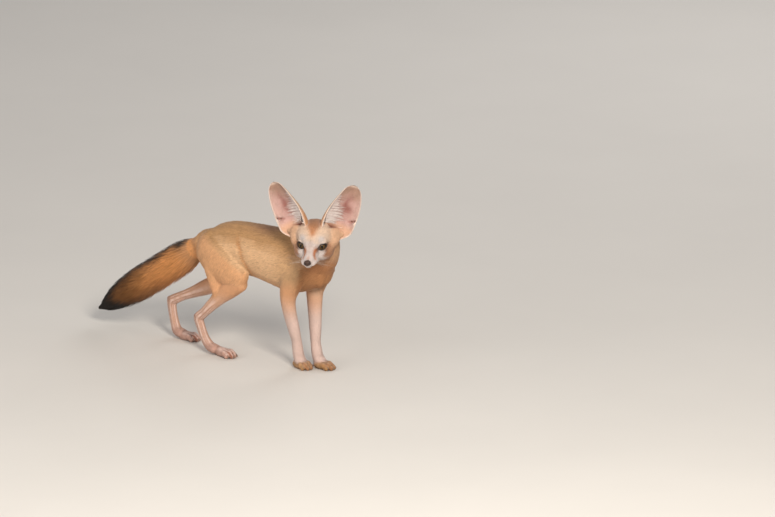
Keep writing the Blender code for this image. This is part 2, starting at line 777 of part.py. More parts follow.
def tail_place(distance, angle, share):
    """A point this far along the tail, round it from its left side and out from its middle, and the way round."""
    rows, distances = tail_line()
    inside = min(distance, distances[-1])
    x, y, z, radius = [np.interp(inside, distances, rows[:, k]) for k in range(4)]
    ahead = [np.interp(inside, distances, slope) for slope in np.gradient(rows[:, :3], distances, axis=0).T]
    ahead = Vector(ahead).normalized()
    side = Vector((0, 1, 0))
    up = side.cross(ahead) * -1
    out = side * math.cos(angle) + up * math.sin(angle)
    around = up * math.cos(angle) - side * math.sin(angle)
    return Vector((x, y, z)) + ahead * (distance - inside) + out * radius * share, around, radius


def tail_locks():
    """Tiers of locks round the tail, each tier set between those of the last."""
    draw = random.Random(TAIL_LOCKS["seed"])
    distances, shares = zip(*TAIL_CORE)
    end = tail_line()[1][-1]
    locks = []
    for tier in range(TAIL_LOCKS["tiers"]):
        start = TAIL_LOCKS["first"] + TAIL_LOCKS["spacing"] * tier
        for k in range(TAIL_LOCKS["around"]):
            stray = draw.uniform(-TAIL_LOCKS["stray"], TAIL_LOCKS["stray"])
            angle = 2 * math.pi * (k + 0.5 * (tier % 2) + stray) / TAIL_LOCKS["around"]
            begin = start + draw.uniform(0, TAIL_LOCKS["scatter"]) * TAIL_LOCKS["spacing"]
            length = TAIL_LOCKS["length"] * spread(draw, TAIL_LOCKS["uneven"])
            length = min(length, end + draw.uniform(*TAIL_LOCKS["end"]) - begin)
            root = TAIL_LOCKS["root"] * np.interp(begin, distances, shares)
            tip = draw.uniform(*TAIL_LOCKS["tip"])
            sway = draw.uniform(-1, 1) * TAIL_LOCKS["sway"]
            path, across = [], []
            for t in LOCK_STATIONS:
                share = root + (tip - root) * t**0.85
                point, around, _ = tail_place(begin + length * t, angle + sway * t * t, share)
                path.append(point)
                across.append(around)
            girth = 2 * math.pi * tail_place(begin + length * 0.3, 0, 1)[2]
            width = girth / TAIL_LOCKS["around"] * TAIL_LOCKS["cover"]
            locks.append(lock(path, across, width, TAIL_LOCKS["depth"]))
    return locks


def tail_node():
    """The brush: locks in tiers on a core, out to the tips of the coat."""
    rows = []
    for distance, share in TAIL_CORE:
        point, _, radius = tail_place(distance, 0, 0)
        rows.append((*point, radius * share, radius * share))
    core = loft("tail", rows, sides=10, steps=1, round_ends=False)
    return keep_largest(combine(core, tail_locks(), "UNION"))


def body_nodes():
    """Torso, neck and the legs down to the feet."""
    pieces = [loft(name, rows) for name, rows in TRUNK.items()]
    for paw in LOWER_LEGS:
        pieces += lower_leg(paw)
    rest = fuse("torso", pieces + skull_pieces(), BODY_VOXEL)
    thin(rest, BODY_TRIANGLES)
    keep_largest(combine(rest, [region(*HEAD_REGION, head_matrix(), GAP)], "DIFFERENCE"))
    outline = brush_outline("outline")
    combine(rest, [swollen(outline, GAP), outline], "DIFFERENCE")
    keep_largest(rest)
    nodes = {name: part_off(rest, name, *limits) for name, limits in BODY_REGIONS.items()}
    for whole, name, point, normal in LIMB_CUTS:
        nodes[name] = part_off(nodes[whole], name, (-FAR, -FAR, -FAR), (FAR, FAR, FAR), [(point, normal)])
    for paw, leg, name, point, normal in FEET:
        keep_largest(combine(nodes[leg], [half_space(point, normal, GAP)], "DIFFERENCE"))
        nodes[name] = foot(paw, name, point, normal)
    return [rest, *nodes.values()]


def centre_on_floor(nodes):
    """Moves all so that the middle of the whole, seen from above, is the origin."""
    points = np.array([vertex.co for node in nodes for vertex in node.data.vertices])
    middle = (points.min(axis=0) + points.max(axis=0)) / 2
    for node in nodes:
        node.data.transform(Matrix.Translation((-middle[0], -middle[1], 0)))


def build():
    for old in list(bpy.data.objects):
        bpy.data.objects.remove(old)
    finishes = {name: material(name, *values) for name, values in FINISHES.items()}
    nodes = [tail_node(), *body_nodes(), *head_nodes()]
    centre_on_floor(nodes)
    group = bpy.data.collections.new("fennec_fox")
    bpy.context.scene.collection.children.link(group)
    for node in nodes:
        kind = node.name.split("_")[-1]
        finish = FINISH_OF.get(node.name, kind if kind in FINISHES else "leg")
        node.data.materials.clear()
        node.data.materials.append(finishes[finish])
        bpy.context.scene.collection.objects.unlink(node)
        group.objects.link(node)


build()
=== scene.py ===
import math

import bmesh
import bpy
import numpy as np
from mathutils import Euler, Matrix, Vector
from mathutils.bvhtree import BVHTree


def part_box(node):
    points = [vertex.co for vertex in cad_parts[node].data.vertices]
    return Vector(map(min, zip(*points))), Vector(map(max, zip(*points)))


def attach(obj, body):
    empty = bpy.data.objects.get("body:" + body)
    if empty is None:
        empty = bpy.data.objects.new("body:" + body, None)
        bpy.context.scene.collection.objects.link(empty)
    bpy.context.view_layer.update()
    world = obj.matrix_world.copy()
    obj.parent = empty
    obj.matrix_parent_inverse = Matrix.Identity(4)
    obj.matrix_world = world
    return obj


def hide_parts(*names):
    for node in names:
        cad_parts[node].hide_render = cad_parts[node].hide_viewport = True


# A fennec fox at life size. Shapes are worked out in millimetres in the fox's own frame: it faces +X,
# its left side is +Y and the floor is Z = 0. Meshes are then written in metres, in the part's frame.

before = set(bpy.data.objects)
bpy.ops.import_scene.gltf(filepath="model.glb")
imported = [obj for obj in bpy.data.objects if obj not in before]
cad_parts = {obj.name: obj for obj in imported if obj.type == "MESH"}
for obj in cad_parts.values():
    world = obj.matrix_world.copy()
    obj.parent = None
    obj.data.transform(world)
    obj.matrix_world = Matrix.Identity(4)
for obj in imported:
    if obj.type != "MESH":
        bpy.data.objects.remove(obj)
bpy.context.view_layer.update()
mm = 0.001

# The head's frame starts midway between the eyes: x along the muzzle, y to its left, z up
headSettings = {"place": (152.0, -54.5, 221.0), "turn": -61.0, "nod": 3.0, "roll": 2.0}
eyeSettings = {
    "radius": 8.4,
    "place": (-5.4, 14.6, 0.0),
    "out": 17.0,
    "up": -1.0,
    "slant": 17.0,
    "opening": (9.2, 4.9),  # half length and half height between the lids
    "lidRadius": 10.1,
}


def rotation(x, y, z):
    return np.array(Euler([math.radians(a) for a in (x, y, z)], "XYZ").to_matrix())


headRotation = (rotation(0, 0, headSettings["turn"]) @ rotation(0, headSettings["nod"], 0)
                @ rotation(-headSettings["roll"], 0, 0))


def fromHead(points):
    return np.asarray(points, float) @ headRotation.T + headSettings["place"]


def toHead(points):
    return (points - headSettings["place"]) @ headRotation


def eyeFrame(side):
    # centre and axes of one eye: x out through the pupil, y along the opening, z up
    x, y, z = eyeSettings["place"]
    turn = rotation(0, 0, side * eyeSettings["out"]) @ rotation(0, -eyeSettings["up"], 0)
    return fromHead((x, side * y, z)), headRotation @ turn @ rotation(side * eyeSettings["slant"], 0, 0)


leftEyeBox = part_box("left_eye")
shift = np.array((leftEyeBox[0] + leftEyeBox[1]) / 2) / mm - eyeFrame(1)[0]


def unit(vectors):
    return vectors / np.maximum(np.linalg.norm(vectors, axis=-1, keepdims=True), 1e-9)


def ease(low, high, value):
    # 0 at low and before, 1 at high and past it, smooth between
    t = np.clip((np.asarray(value, float) - low) / (high - low), 0, 1)
    return t * t * (3 - 2 * t)


def bell(*gaps):
    # 1 where every gap is 0, falling away smoothly
    return np.exp(-sum(gap**2 for gap in gaps))


def lengths(vectors):
    return np.linalg.norm(vectors, axis=1)


def blend(first, second, share):
    share = np.asarray(share, float)[..., None]
    return np.asarray(first, float) * (1 - share) + np.asarray(second, float) * share


def colour(red, green, blue):
    # a colour as a painter mixes it, 0 to 255, made linear
    value = np.array((red, green, blue), float) / 255
    return np.where(value <= 0.04045, value / 12.92, ((value + 0.055) / 1.055) ** 2.4)


cloudDraw = np.random.default_rng(11)
cloudWaves = unit(cloudDraw.normal(size=(7, 3))) * cloudDraw.uniform(0.6, 1.7, (7, 1))
cloudPhases = cloudDraw.uniform(0, 2 * math.pi, 7)


def cloud(points, size):
    # soft irregular patches of about this size, from -1 to 1
    return np.sin(points @ (cloudWaves.T * math.pi / size) + cloudPhases).mean(axis=1) * 2.2


# Flesh: rows of x, y, z, half width, half depth, smoothed lengthwise
trunk = {
    "barrel": [(-122, 0, 166, 13, 15), (-104, 0, 169, 25, 27), (-80, 0, 168, 32, 36), (-45, 0, 176, 33, 42),
               (0, 0, 177, 33, 44), (40, 0, 174, 34, 48), (75, 0, 170, 33, 51), (100, 3, 166, 31, 43),
               (119, 6, 163, 25, 31)],
    "neck": [(74, 0, 178, 30, 40), (98, 3, 182, 31, 40), (113, 6, 188, 31, 38), (120, 6, 198, 30, 35),
             (126, 3, 211, 27, 31), (127, -5, 222, 25, 27)],
    "tailBase": [(-108, 0, 167, 19, 20), (-126, 0, 158, 16, 16), (-142, 0, 148.5, 12, 12)],
    "rightThigh": [(-90, -14, 174, 18, 33), (-64, -23, 160, 17, 36), (-38, -27, 147, 14, 31),
                   (-12, -28, 134, 11.5, 19)],
    "rightHam": [(-82, -16, 170, 14, 20), (-71, -25, 145, 14, 18), (-63, -27, 120, 11, 15),
                 (-58, -26, 100, 9, 12)],
    "rightShank": [(-14, -28, 128, 11.5, 16), (-34, -27.5, 114, 11, 16), (-52, -26, 101, 9.5, 14),
                   (-73, -25, 82, 8, 10.5), (-91, -23.5, 65, 7, 8.5), (-103, -23, 55, 7, 9)],
    "leftThigh": [(-94, 13, 174, 17, 33), (-96, 22, 150, 16, 32), (-96, 27, 128, 14, 28),
                  (-92, 28, 110, 12, 18)],
    "leftShank": [(-90, 28, 107, 11.5, 17), (-112, 27, 97, 11, 15), (-131, 25.5, 88, 9.5, 13),
                  (-152, 24.5, 78, 8, 10), (-172, 23, 69, 7, 8.3), (-192, 21, 59, 7, 9)],
    "rightFore": [(98, -18, 170, 13, 24), (88, -23, 147, 13, 21), (81, -24, 126, 12, 17),
                  (79, -23, 110, 11, 14), (81, -20.5, 90, 9.9, 12), (85.5, -17, 66, 9, 10.6),
                  (89, -14, 46, 8, 9), (90, -12.5, 33, 8.6, 9.4), (91, -11, 20, 9, 9.3),
                  (95, -10, 10, 10, 9)],
    "leftFore": [(113, 22, 170, 14, 26), (103, 24, 146, 13, 21), (97, 23.5, 124, 12, 17),
                 (98, 21.5, 107, 11.3, 14.6), (101, 18.5, 84, 10, 12.2), (104, 15.5, 60, 9, 10.6),
                 (106, 13.5, 42, 8, 9), (109, 12, 30, 8.6, 9.3), (112.5, 11, 18, 9, 9.3),
                 (120, 10, 10, 10, 9)],
    "rightHind": [(-105, -23, 54, 6.4, 8.6), (-98, -25, 41, 6.3, 8.5), (-88, -27, 24, 6.5, 8),
                  (-76, -28.5, 12, 8, 8.5), (-64, -29, 9, 10.5, 7.5)],
    "leftHind": [(-195, 21, 58, 6.4, 8.6), (-190, 18, 42, 6.3, 8.3), (-184, 15.5, 26, 6.5, 7.8),
                 (-177, 14, 12, 8, 8.5), (-166, 13.5, 9, 10.5, 7.5)],
    "rightElbow": [(66, -23, 119, 4, 5), (77, -23, 111, 7, 8)],
    "leftElbow": [(85, 24, 119, 4, 5), (95, 23, 111, 7, 9)],
    "rightHeel": [(-110, -23, 56, 3.6, 4), (-104, -23, 49, 5.5, 6)],
    "leftHeel": [(-200, 21, 61, 3.6, 4), (-193, 21, 53, 5.5, 6)],
}

# The skull's lofts, in the head's frame. Those in skullPairs are on both sides
skull = {
    "cranium": [(-62, 0, 2, 14, 14), (-52, 0, 5, 25, 22), (-36, 0, 7.5, 30, 26), (-18, 0, 7.5, 28, 24.5),
                (-4, 0, 3.5, 22, 19), (6, 0, -2, 16, 15.5)],
    "muzzle": [(-8, 0, -8, 19, 18), (6, 0, -10.5, 13.5, 14.5), (20, 0, -13.8, 10.6, 11.8),
               (31, 0, -16.8, 9.4, 9), (38.5, 0, -17.8, 7.6, 6.8)],
    "chin": [(-14, 0, -22, 16, 11), (6, 0, -23.5, 11, 8.5), (22, 0, -24.2, 7.6, 5.3),
             (32, 0, -24.2, 5.8, 3.9)],
}
skullPairs = {
    "cheek": [(4, 10, -13, 7, 8), (-12, 18.5, -13, 11, 13.5), (-27, 21.5, -11, 11.5, 16),
              (-46, 18, -7, 11, 16)],
    "jowl": [(-13, 14, -22, 7, 6), (-24, 17.5, -24, 8, 7.5), (-40, 14, -22, 9, 9)],
    "earRoot": [(-29, 14, 11, 15, 12), (-32, 26, 10.5, 14, 12), (-36, 36, 9.5, 10, 10.5),
                (-37, 41, 9.5, 6, 7)],
    "temple": [(-22, 20, -8, 12, 13), (-26, 28, 0, 11, 12), (-31, 33, 4, 8, 9.5)],
    "brow": [(3, 12, 9, 4.5, 4), (-6, 19, 10, 5.5, 4.5)],
    "lip": [(16, 8, -17, 6.5, 7), (24, 7.4, -18.5, 6.5, 6.3), (33, 5.8, -19.5, 5.8, 5.2)],
    "lid": [(-9, 13.4, 0, 10.2, 10.2), (-5.8, 14.7, 0, 9.9, 9.9)],
}

# Paws: x, y of the middle of the pad, heading in degrees, length of the toes
paws = {
    "right_forefoot": (98, -10, -8, 19),
    "left_forefoot": (127, 9.6, 4, 19),
    "right_hind_foot": (-44, -29.5, -6, 21),
    "left_hind_foot": (-152, 13.5, 4, 20),
}
toeSettings = {"sides": (-8.6, -3.1, 3.1, 8.6), "reach": (0.68, 1.0, 1.0, 0.68), "sink": 1.1}

# Tail: x, y, z, radius out to the tips of its coat
tailRows = [(-128, 0, 158.5, 20), (-140, 0, 151.5, 23), (-170, 0, 130.5, 25.5), (-210, 0, 104, 26),
            (-248, 0, 79, 25), (-282, 0, 56.5, 20.5), (-308, 0, 38, 11.5), (-326, 0, 28, 2.5)]


def smoothRows(rows, steps):
    table = np.array(rows, float)
    table = np.vstack([2 * table[0] - table[1], table, 2 * table[-1] - table[-2]])
    t = (np.arange(steps) / steps)[:, None]
    spans = [0.5 * (2 * b + (c - a) * t + (2 * a - 5 * b + 4 * c - d) * t**2 + (3 * b - a - 3 * c + d) * t**3)
             for a, b, c, d in zip(table, table[1:], table[2:], table[3:])]
    return np.vstack(spans + [table[-2:-1]])


def loft(rows, sides=20, steps=4, roundEnds=True, side=(0, 1, 0)):
    # a closed body through oval rings; side is the way that the half width points
    rows = smoothRows(rows, steps)
    ahead = unit(np.gradient(rows[:, :3], axis=0))
    if roundEnds:
        caps = []
        for end, sign in ((0, -1), (-1, 1)):
            angles = np.radians((30, 58, 80))
            cap = np.repeat(rows[end][None], 3, axis=0)
            reach = min(rows[end][3:5]) * 0.95
            cap[:, :3] += sign * ahead[end] * reach * np.sin(angles)[:, None]
            cap[:, 3:5] *= np.cos(angles)[:, None]
            caps.append(cap)
        rows = np.vstack([caps[0][::-1], rows, caps[1]])
        ahead = np.vstack([np.repeat(ahead[:1], 3, axis=0), ahead, np.repeat(ahead[-1:], 3, axis=0)])
    across = unit(np.array(side) - (ahead @ np.array(side))[:, None] * ahead)
    up = np.cross(ahead, across)
    angles = np.linspace(0, 2 * math.pi, sides, endpoint=False)
    rings = (rows[:, None, :3] + across[:, None] * (rows[:, 3:4] * np.cos(angles))[..., None]
             + up[:, None] * (rows[:, 4:5] * np.sin(angles))[..., None])
    return rings.reshape(-1, 3), tubeFaces(len(rows), sides)


def tubeFaces(rings, sides):
    start = np.arange(rings - 1)[:, None] * sides
    here, following = np.arange(sides), (np.arange(sides) + 1) % sides
    quads = np.stack([start + here, start + following, start + sides + following, start + sides + here], -1)
    last = (rings - 1) * sides
    return quads.reshape(-1, 4).tolist() + [list(range(sides))[::-1], list(range(last, last + sides))]


def gather(pieces):
    # several (points, faces) as one
    points, faces, start = [], [], 0
    for piecePoints, pieceFaces in pieces:
        points.append(piecePoints)
        faces += [[index + start for index in face] for face in pieceFaces]
        start += len(piecePoints)
    return np.vstack(points), faces


def addObject(name, data):
    made = bpy.data.objects.new(name, data)
    bpy.context.scene.collection.objects.link(made)
    return made


def newMesh(name, points, faces):
    # an object from points in millimetres in the fox's frame
    data = bpy.data.meshes.new(name)
    data.from_pydata(((points + shift) * mm).tolist(), [], faces)
    mesh = bmesh.new()
    mesh.from_mesh(data)
    bmesh.ops.recalc_face_normals(mesh, faces=mesh.faces)
    mesh.to_mesh(data)
    mesh.free()
    data.shade_smooth()
    return addObject(name, data)


def settle(obj):
    # the modifiers' result becomes the mesh itself
    graph = bpy.context.evaluated_depsgraph_get()
    data = bpy.data.meshes.new_from_object(obj.evaluated_get(graph))
    obj.modifiers.clear()
    obj.data = data


def readThrees(items, key, kind=np.float32):
    flat = np.empty(len(items) * 3, kind)
    items.foreach_get(key, flat)
    return flat.reshape(-1, 3)


def meshPoints(obj):
    return readThrees(obj.data.vertices, "co").astype(float) / mm - shift


def meshNormals(obj):
    return readThrees(obj.data.vertex_normals, "vector").astype(float)


def meshTriangles(obj):
    obj.data.calc_loop_triangles()
    return readThrees(obj.data.loop_triangles, "vertices", np.int32)


def setPoints(obj, points):
    obj.data.vertices.foreach_set("co", ((points + shift) * mm).astype(np.float32).ravel())
    obj.data.update()


def setTint(obj, colours):
    tint = obj.data.attributes.new("tint", "FLOAT_COLOR", "POINT")
    full = np.ones((len(colours), 4), np.float32)
    full[:, :3] = np.clip(colours, 0, 1)
    tint.data.foreach_set("color", full.ravel())


def setNumber(obj, name, values):
    numbers = obj.data.attributes.new(name, "FLOAT", "POINT")
    numbers.data.foreach_set("value", np.asarray(values, np.float32))


# The skin

def placedPaw(name, points):
    x, y, heading, _ = paws[name]
    return np.asarray(points, float) @ rotation(0, 0, heading).T + (x, y, -toeSettings["sink"])


def pawPieces(name):
    reach = paws[name][3]
    pieces = [loft([(-12, 0, 8, 8.5, 8), (-2, 0, 7.5, 11, 7.5), (5, 0, 7, 9.5, 6.5)])]
    for side, share in zip(toeSettings["sides"], toeSettings["reach"]):
        tip = reach * share
        pieces.append(loft([(0, side * 0.8, 8.5, 3.6, 4.4), (tip - 9.5, side, 8.8, 3.9, 5.0),
                            (tip - 6.5, side * 1.03, 6.4, 3.4, 4.4),
                            (tip - 3.2, side * 1.06, 4.9, 3.7, 4.5)]))
    return [(placedPaw(name, points), faces) for points, faces in pieces]


def mirrored(rows):
    return [(x, -y, *rest) for x, y, *rest in rows]


def skullLofts():
    lofts = dict(skull)
    for name, rows in skullPairs.items():
        lofts[name + "Left"] = rows
        lofts[name + "Right"] = mirrored(rows)
    return lofts


def tailLine():
    rows = smoothRows(tailRows, 8)
    steps = lengths(np.diff(rows[:, :3], axis=0))
    return rows, np.concatenate([[0], np.cumsum(steps)])


def tailFlesh():
    rows, distance = tailLine()
    end = distance[-1]
    share = np.interp(distance, (0, 8, 26, 60, end - 16, end), (0.92, 0.8, 0.52, 0.42, 0.36, 0.2))
    kept = distance < end - 8
    radius = rows[:, 3] * share
    return loft(np.column_stack([rows[:, :3], radius, radius])[kept][::3])


def almond(points, side):
    # how far each point is from the middle of the opening between the lids (1 at the rim), and its place
    centre, axes = eyeFrame(side)
    local = (points - centre) @ axes
    length, height = eyeSettings["opening"]
    along = np.clip(1 - (local[:, 1] / length) ** 2, 1e-4, 1) ** 0.75 * height
    ratio = np.maximum(np.abs(local[:, 2]) / along, np.abs(local[:, 1]) / length)
    return ratio, local, centre, axes


def valley(local, side):
    # 0 over the lids and rising to 1 away from them, drawn out towards the nose
    length, height = eyeSettings["opening"]
    towardsNose = np.clip(-side * local[:, 1], 0, 20)
    across = np.abs(local[:, 1]) - 0.22 * towardsNose
    upwards = local[:, 2] + 0.12 * towardsNose
    return ease(0.95, 2.0, np.hypot(across / (length + 0.6), upwards / (height + 1.4)))


def openEyes(points):
    # the skin slopes down to the lids round each eye, and between them it goes back behind the eyeball
    for side in (1, -1):
        ratio, local, centre, axes = almond(points, side)
        reach, rim = lengths(local), eyeSettings["lidRadius"]
        wanted = rim + (reach - rim) * valley(local, side)
        inside = 1 - ease(0.92, 1.1, ratio)
        wanted = wanted + (np.minimum(wanted, eyeSettings["radius"] - 1.2) - wanted) * inside
        fold = bell((ratio - 1.6) / 0.16) * (local[:, 2] > 0) * (reach < 15) * 0.35
        moved = unit(local) * (wanted - fold)[:, None]
        near = (local[:, 0] > 1) & (reach < 24)
        points = np.where(near[:, None], moved @ axes.T + centre, points)
    return points


mouthSettings = {"height": -22.6, "corner": 10.0, "width": 0.75, "depth": 1.0, "smile": 0.004}


def mouthShare(local):
    # 1 along the line of the mouth, in the head's frame
    x, y, z = local.T
    line = mouthSettings["height"] + mouthSettings["smile"] * np.clip(30 - x, 0, 25) ** 2
    cleft = bell(y / 0.7) * ease(34, 37, x) * ease(-23, -22, z) * (1 - ease(-19, -17, z))
    corner = mouthSettings["corner"]
    return np.maximum(bell((z - line) / mouthSettings["width"]) * ease(corner, corner + 3, x), cleft)


foldSettings = {
    "depth": 1.3,
    "width": 4.2,
    "lines": ((-1, -1, -0.39), (1, -62, -0.2)),  # side, x where z is 168, lean
}


def foldShare(points):
    # 1 along the fold of skin that runs from the loin down to the front of each knee
    x, y, z = points.T
    return sum(bell((x - middle - (z - 168) * lean) / foldSettings["width"]) * (y * side > 8)
               * ease(132, 152, z) * ease(212, 190, z) for side, middle, lean in foldSettings["lines"])


sinewSettings = {
    "depth": 0.95,
    "grooves": ((30, 7, 0.8), (-24, 7, 1)),  # angle, width, strength
    "ridges": ((60, 13, 1), (3, 13, 1)),
}


def sinews(points, normals, ways):
    # the grooves and ridges along the hind shanks, by the angle from the right side to the front
    x, _, z = points.T
    front = np.cross((0, -1, 0), ways)
    angle = np.degrees(np.arctan2((normals * front).sum(axis=1), -normals[:, 1]))
    here = (x < 0) * (x > -215) * ease(104, 74, z) * ease(12, 20, z)

    def along(lines):
        return sum(bell((angle - middle) / width) * strength for middle, width, strength in lines) * here

    return along(sinewSettings["grooves"]), along(sinewSettings["ridges"])


def carve(points, normals):
    local = toHead(points)
    depth = mouthShare(local) * mouthSettings["depth"] * (local[:, 0] > 5)
    depth = depth + foldShare(points) * foldSettings["depth"]
    low = points[:, 2] < 110
    depth[low] += sinews(points[low], normals[low], readGuides(points[low])[0])[0] * sinewSettings["depth"]
    return points - normals * depth[:, None]


coatDepth = {"trunk": 1.25, "legs": 0.6, "face": 0.4, "feet": 0.25}


def insetOf(points):
    # how far the skin lies under the tips of the coat
    local, z = toHead(points), points[:, 2]
    leg = ease(12, 40, z)
    depth = coatDepth["feet"] * (1 - leg) + coatDepth["legs"] * leg
    depth = depth + (coatDepth["trunk"] - coatDepth["legs"]) * ease(70, 130, z)
    return depth + (coatDepth["face"] - depth) * (1 - ease(-50, -34, -local[:, 0])) * (lengths(local) < 90)


skinSettings = {"voxel": 0.85, "softening": 9, "triangles": 170000, "floor": 0.25}


def makeSkin():
    pieces = [loft(rows) for rows in trunk.values()] + [tailFlesh()]
    for name in paws:
        pieces += pawPieces(name)
    pieces += [(fromHead(points), faces) for points, faces in map(loft, skullLofts().values())]
    made = newMesh("skin", *gather(pieces))
    fuse = made.modifiers.new("fuse", "REMESH")
    fuse.mode = "VOXEL"
    fuse.voxel_size = skinSettings["voxel"] * mm
    soften = made.modifiers.new("soften", "SMOOTH")
    soften.factor = 0.5
    soften.iterations = skinSettings["softening"]
    settle(made)
    points, normals = meshPoints(made), meshNormals(made)
    points = openEyes(carve(points - normals * insetOf(points)[:, None], normals))
    points[:, 2] = np.maximum(points[:, 2], skinSettings["floor"])
    setPoints(made, points)
    thin = made.modifiers.new("thin", "DECIMATE")
    thin.ratio = skinSettings["triangles"] / len(meshTriangles(made))
    settle(made)
    made.data.shade_smooth()
    return made


# Where the coat lies: for each loft the way its hair points, and the hair's length, width and lift in radians
headWay = {"cranium": (-1, 0, 0.1), "muzzle": (-1, 0, 0.12), "chin": (-1, 0, -0.15),
           "cheek": (-0.9, 0.35, -0.45), "jowl": (-0.9, 0.2, -0.5), "earRoot": (-0.5, 0.45, 0.75),
           "temple": (-0.6, 0.5, 0.35), "brow": (-0.7, 0.25, 0.65), "lip": (-1, 0.2, -0.1),
           "lid": (-0.9, 0.3, 0.25)}
trunkWay = {"barrel": (-1, 0, -0.22), "neck": (-0.55, 0, -0.85), "tailBase": (-0.83, 0, -0.56),
            "rightThigh": (-0.4, 0, -0.9), "leftThigh": (-0.4, 0, -0.9), "rightHam": (-0.4, 0, -0.9)}
coatSettings = {
    "torso": {"of": ["barrel", "tailBase"], "length": 9.5, "width": 1.15, "lift": 0.11},
    "neck": {"of": ["neck"], "length": 10.5, "width": 1.15, "lift": 0.13},
    "thigh": {"of": ["rightThigh", "leftThigh", "rightHam"], "length": 8.0, "width": 1.0, "lift": 0.1},
    "foreleg": {"of": ["rightFore", "leftFore", "rightElbow", "leftElbow"],
                "length": 4.2, "width": 0.65, "lift": 0.1},
    "shank": {"of": ["rightShank", "leftShank", "rightHind", "leftHind", "rightHeel", "leftHeel"],
              "length": 4.0, "width": 0.65, "lift": 0.1},
    "paw": {"of": list(paws), "length": 2.2, "width": 0.5, "lift": 0.13},
    "face": {"of": ["muzzle", "lip", "lid", "chin", "brow"], "length": 2.4, "width": 0.42, "lift": 0.1},
    "head": {"of": ["cranium", "cheek", "jowl", "earRoot", "temple"],
             "length": 4.6, "width": 0.7, "lift": 0.13},
    "tail": {"of": ["tail"], "length": 30.0, "width": 2.0, "lift": 0.42},
}
groupNames = list(coatSettings)


def plainName(name):
    return name.replace("Left", "").replace("Right", "")


def groupOf(name):
    plain = name if name[:4] in ("left", "righ") else plainName(name)
    return next(index for index, group in enumerate(groupNames) if plain in coatSettings[group]["of"])


def makeGuides():
    # points along the middle of each loft: place, radius, way of the hair, group
    rows = []

    def guide(name, places, radius, way):
        count = len(places)
        rows.append(np.column_stack([places, np.broadcast_to(radius, count), np.broadcast_to(way, (count, 3)),
                                     np.full(count, groupOf(name))]))

    for name, table in trunk.items():
        line = smoothRows([row[:5] for row in table], 3)
        along = unit(np.gradient(line[:, :3], axis=0))
        if name in trunkWay:
            along = unit(np.array(trunkWay[name], float))
        guide(name, line[:, :3], line[:, 3:5].mean(axis=1), along)
    for name, table in skullLofts().items():
        line = smoothRows(table, 3)
        x, y, z = headWay[plainName(name)]
        way = unit(np.array((x, -y if name.endswith("Right") else y, z))) @ headRotation.T
        guide(name, fromHead(line[:, :3]), line[:, 3:5].mean(axis=1), way)
    for name, (_, _, heading, reach) in paws.items():
        line = placedPaw(name, [(x, y, 7) for x in np.linspace(-8, reach - 2, 6) for y in (-5, 5)])
        guide(name, line, 7.5, rotation(0, 0, heading) @ (0.95, 0, -0.3))
    line, distance = tailLine()
    kept = distance > 12
    guide("tail", line[kept, :3], line[kept, 3] * 0.6, unit(np.gradient(line[:, :3], axis=0))[kept])
    return np.vstack(rows)


guides = makeGuides()
guideColumns = np.column_stack([guides[:, 4:7], np.eye(len(groupNames))[guides[:, 7].astype(int)],
                                np.ones(len(guides))])
guideSharpness = 3.5  # how quickly the nearest loft outweighs the next


def readGuides(points):
    # way of the hair and share of each group at each point, blended from the nearest lofts
    out = np.empty((len(points), guideColumns.shape[1]))
    for start in range(0, len(points), 20000):
        some = points[start : start + 20000]
        gap = ((some[:, None] - guides[None, :, :3]) ** 2).sum(axis=2) / guides[:, 3] ** 2
        weight = np.exp(-guideSharpness * (gap - gap.min(axis=1, keepdims=True)))
        out[start : start + 20000] = weight @ guideColumns
    out /= out[:, -1:]
    return unit(out[:, :3]), out[:, 3:-1]


def readSkin(skin):
    # what the coat needs to know of the skin
    points, normals, triangles = meshPoints(skin), meshNormals(skin), meshTriangles(skin)
    a, b, c = (points[triangles[:, k]] for k in range(3))
    ways, shares = readGuides(points)
    ways = awayFromEyes(points, unit(ways - (ways * normals).sum(axis=1, keepdims=True) * normals))
    return {"points": points, "normals": normals, "triangles": triangles, "ways": ways, "shares": shares,
            "areas": lengths(np.cross(b - a, c - a)) / 2,
            "tree": BVHTree.FromPolygons(points.tolist(), triangles.tolist()),
            "tints": paint(points, normals, ways, shares)}


def awayFromEyes(points, ways):
    # round each eye the hair fans out from the lids
    for side in (1, -1):
        ratio, local, _, axes = almond(points, side)
        near = (1 - ease(1.2, 2.6, ratio)) * (local[:, 0] > 0) * (lengths(local) < 20)
        outwards = local * (0.15, 1, 1) @ axes.T
        ways = unit(ways + unit(outwards) * near[:, None] * 1.6)
    return ways


def scatter(weights, count, draw):
    # evenly spread picks, each triangle as often as its weight says
    ladder = np.cumsum(weights)
    marks = (np.arange(count) + draw.random(count)) / count * ladder[-1]
    return np.minimum(np.searchsorted(ladder, marks), len(weights) - 1)


def ontoSkin(tree, points):
    # the nearest place on the skin, and its normal, for each point
    places, normals = np.empty_like(points), np.empty_like(points)
    for index, point in enumerate(points.tolist()):
        place, normal, _, _ = tree.find_nearest(point)
        places[index], normals[index] = place, normal
    return places, normals


ringWidths = {1: (1.0,), 2: (0.75, 1.0), 3: (0.65, 1.0, 0.75)}


def tuftTemplate(rings):
    faces = [(0, 2, 1)]
    for ring in range(rings):
        for k in range(3):
            here, following = ring * 3 + k, ring * 3 + (k + 1) % 3
            if ring == rings - 1:
                faces.append((here, following, rings * 3))
            else:
                faces += [(here, following, following + 3), (here, following + 3, here + 3)]
    return np.array(faces)


bakePatch = 0.003  # how wide each tuft's patch is on the map that the looks are baked to


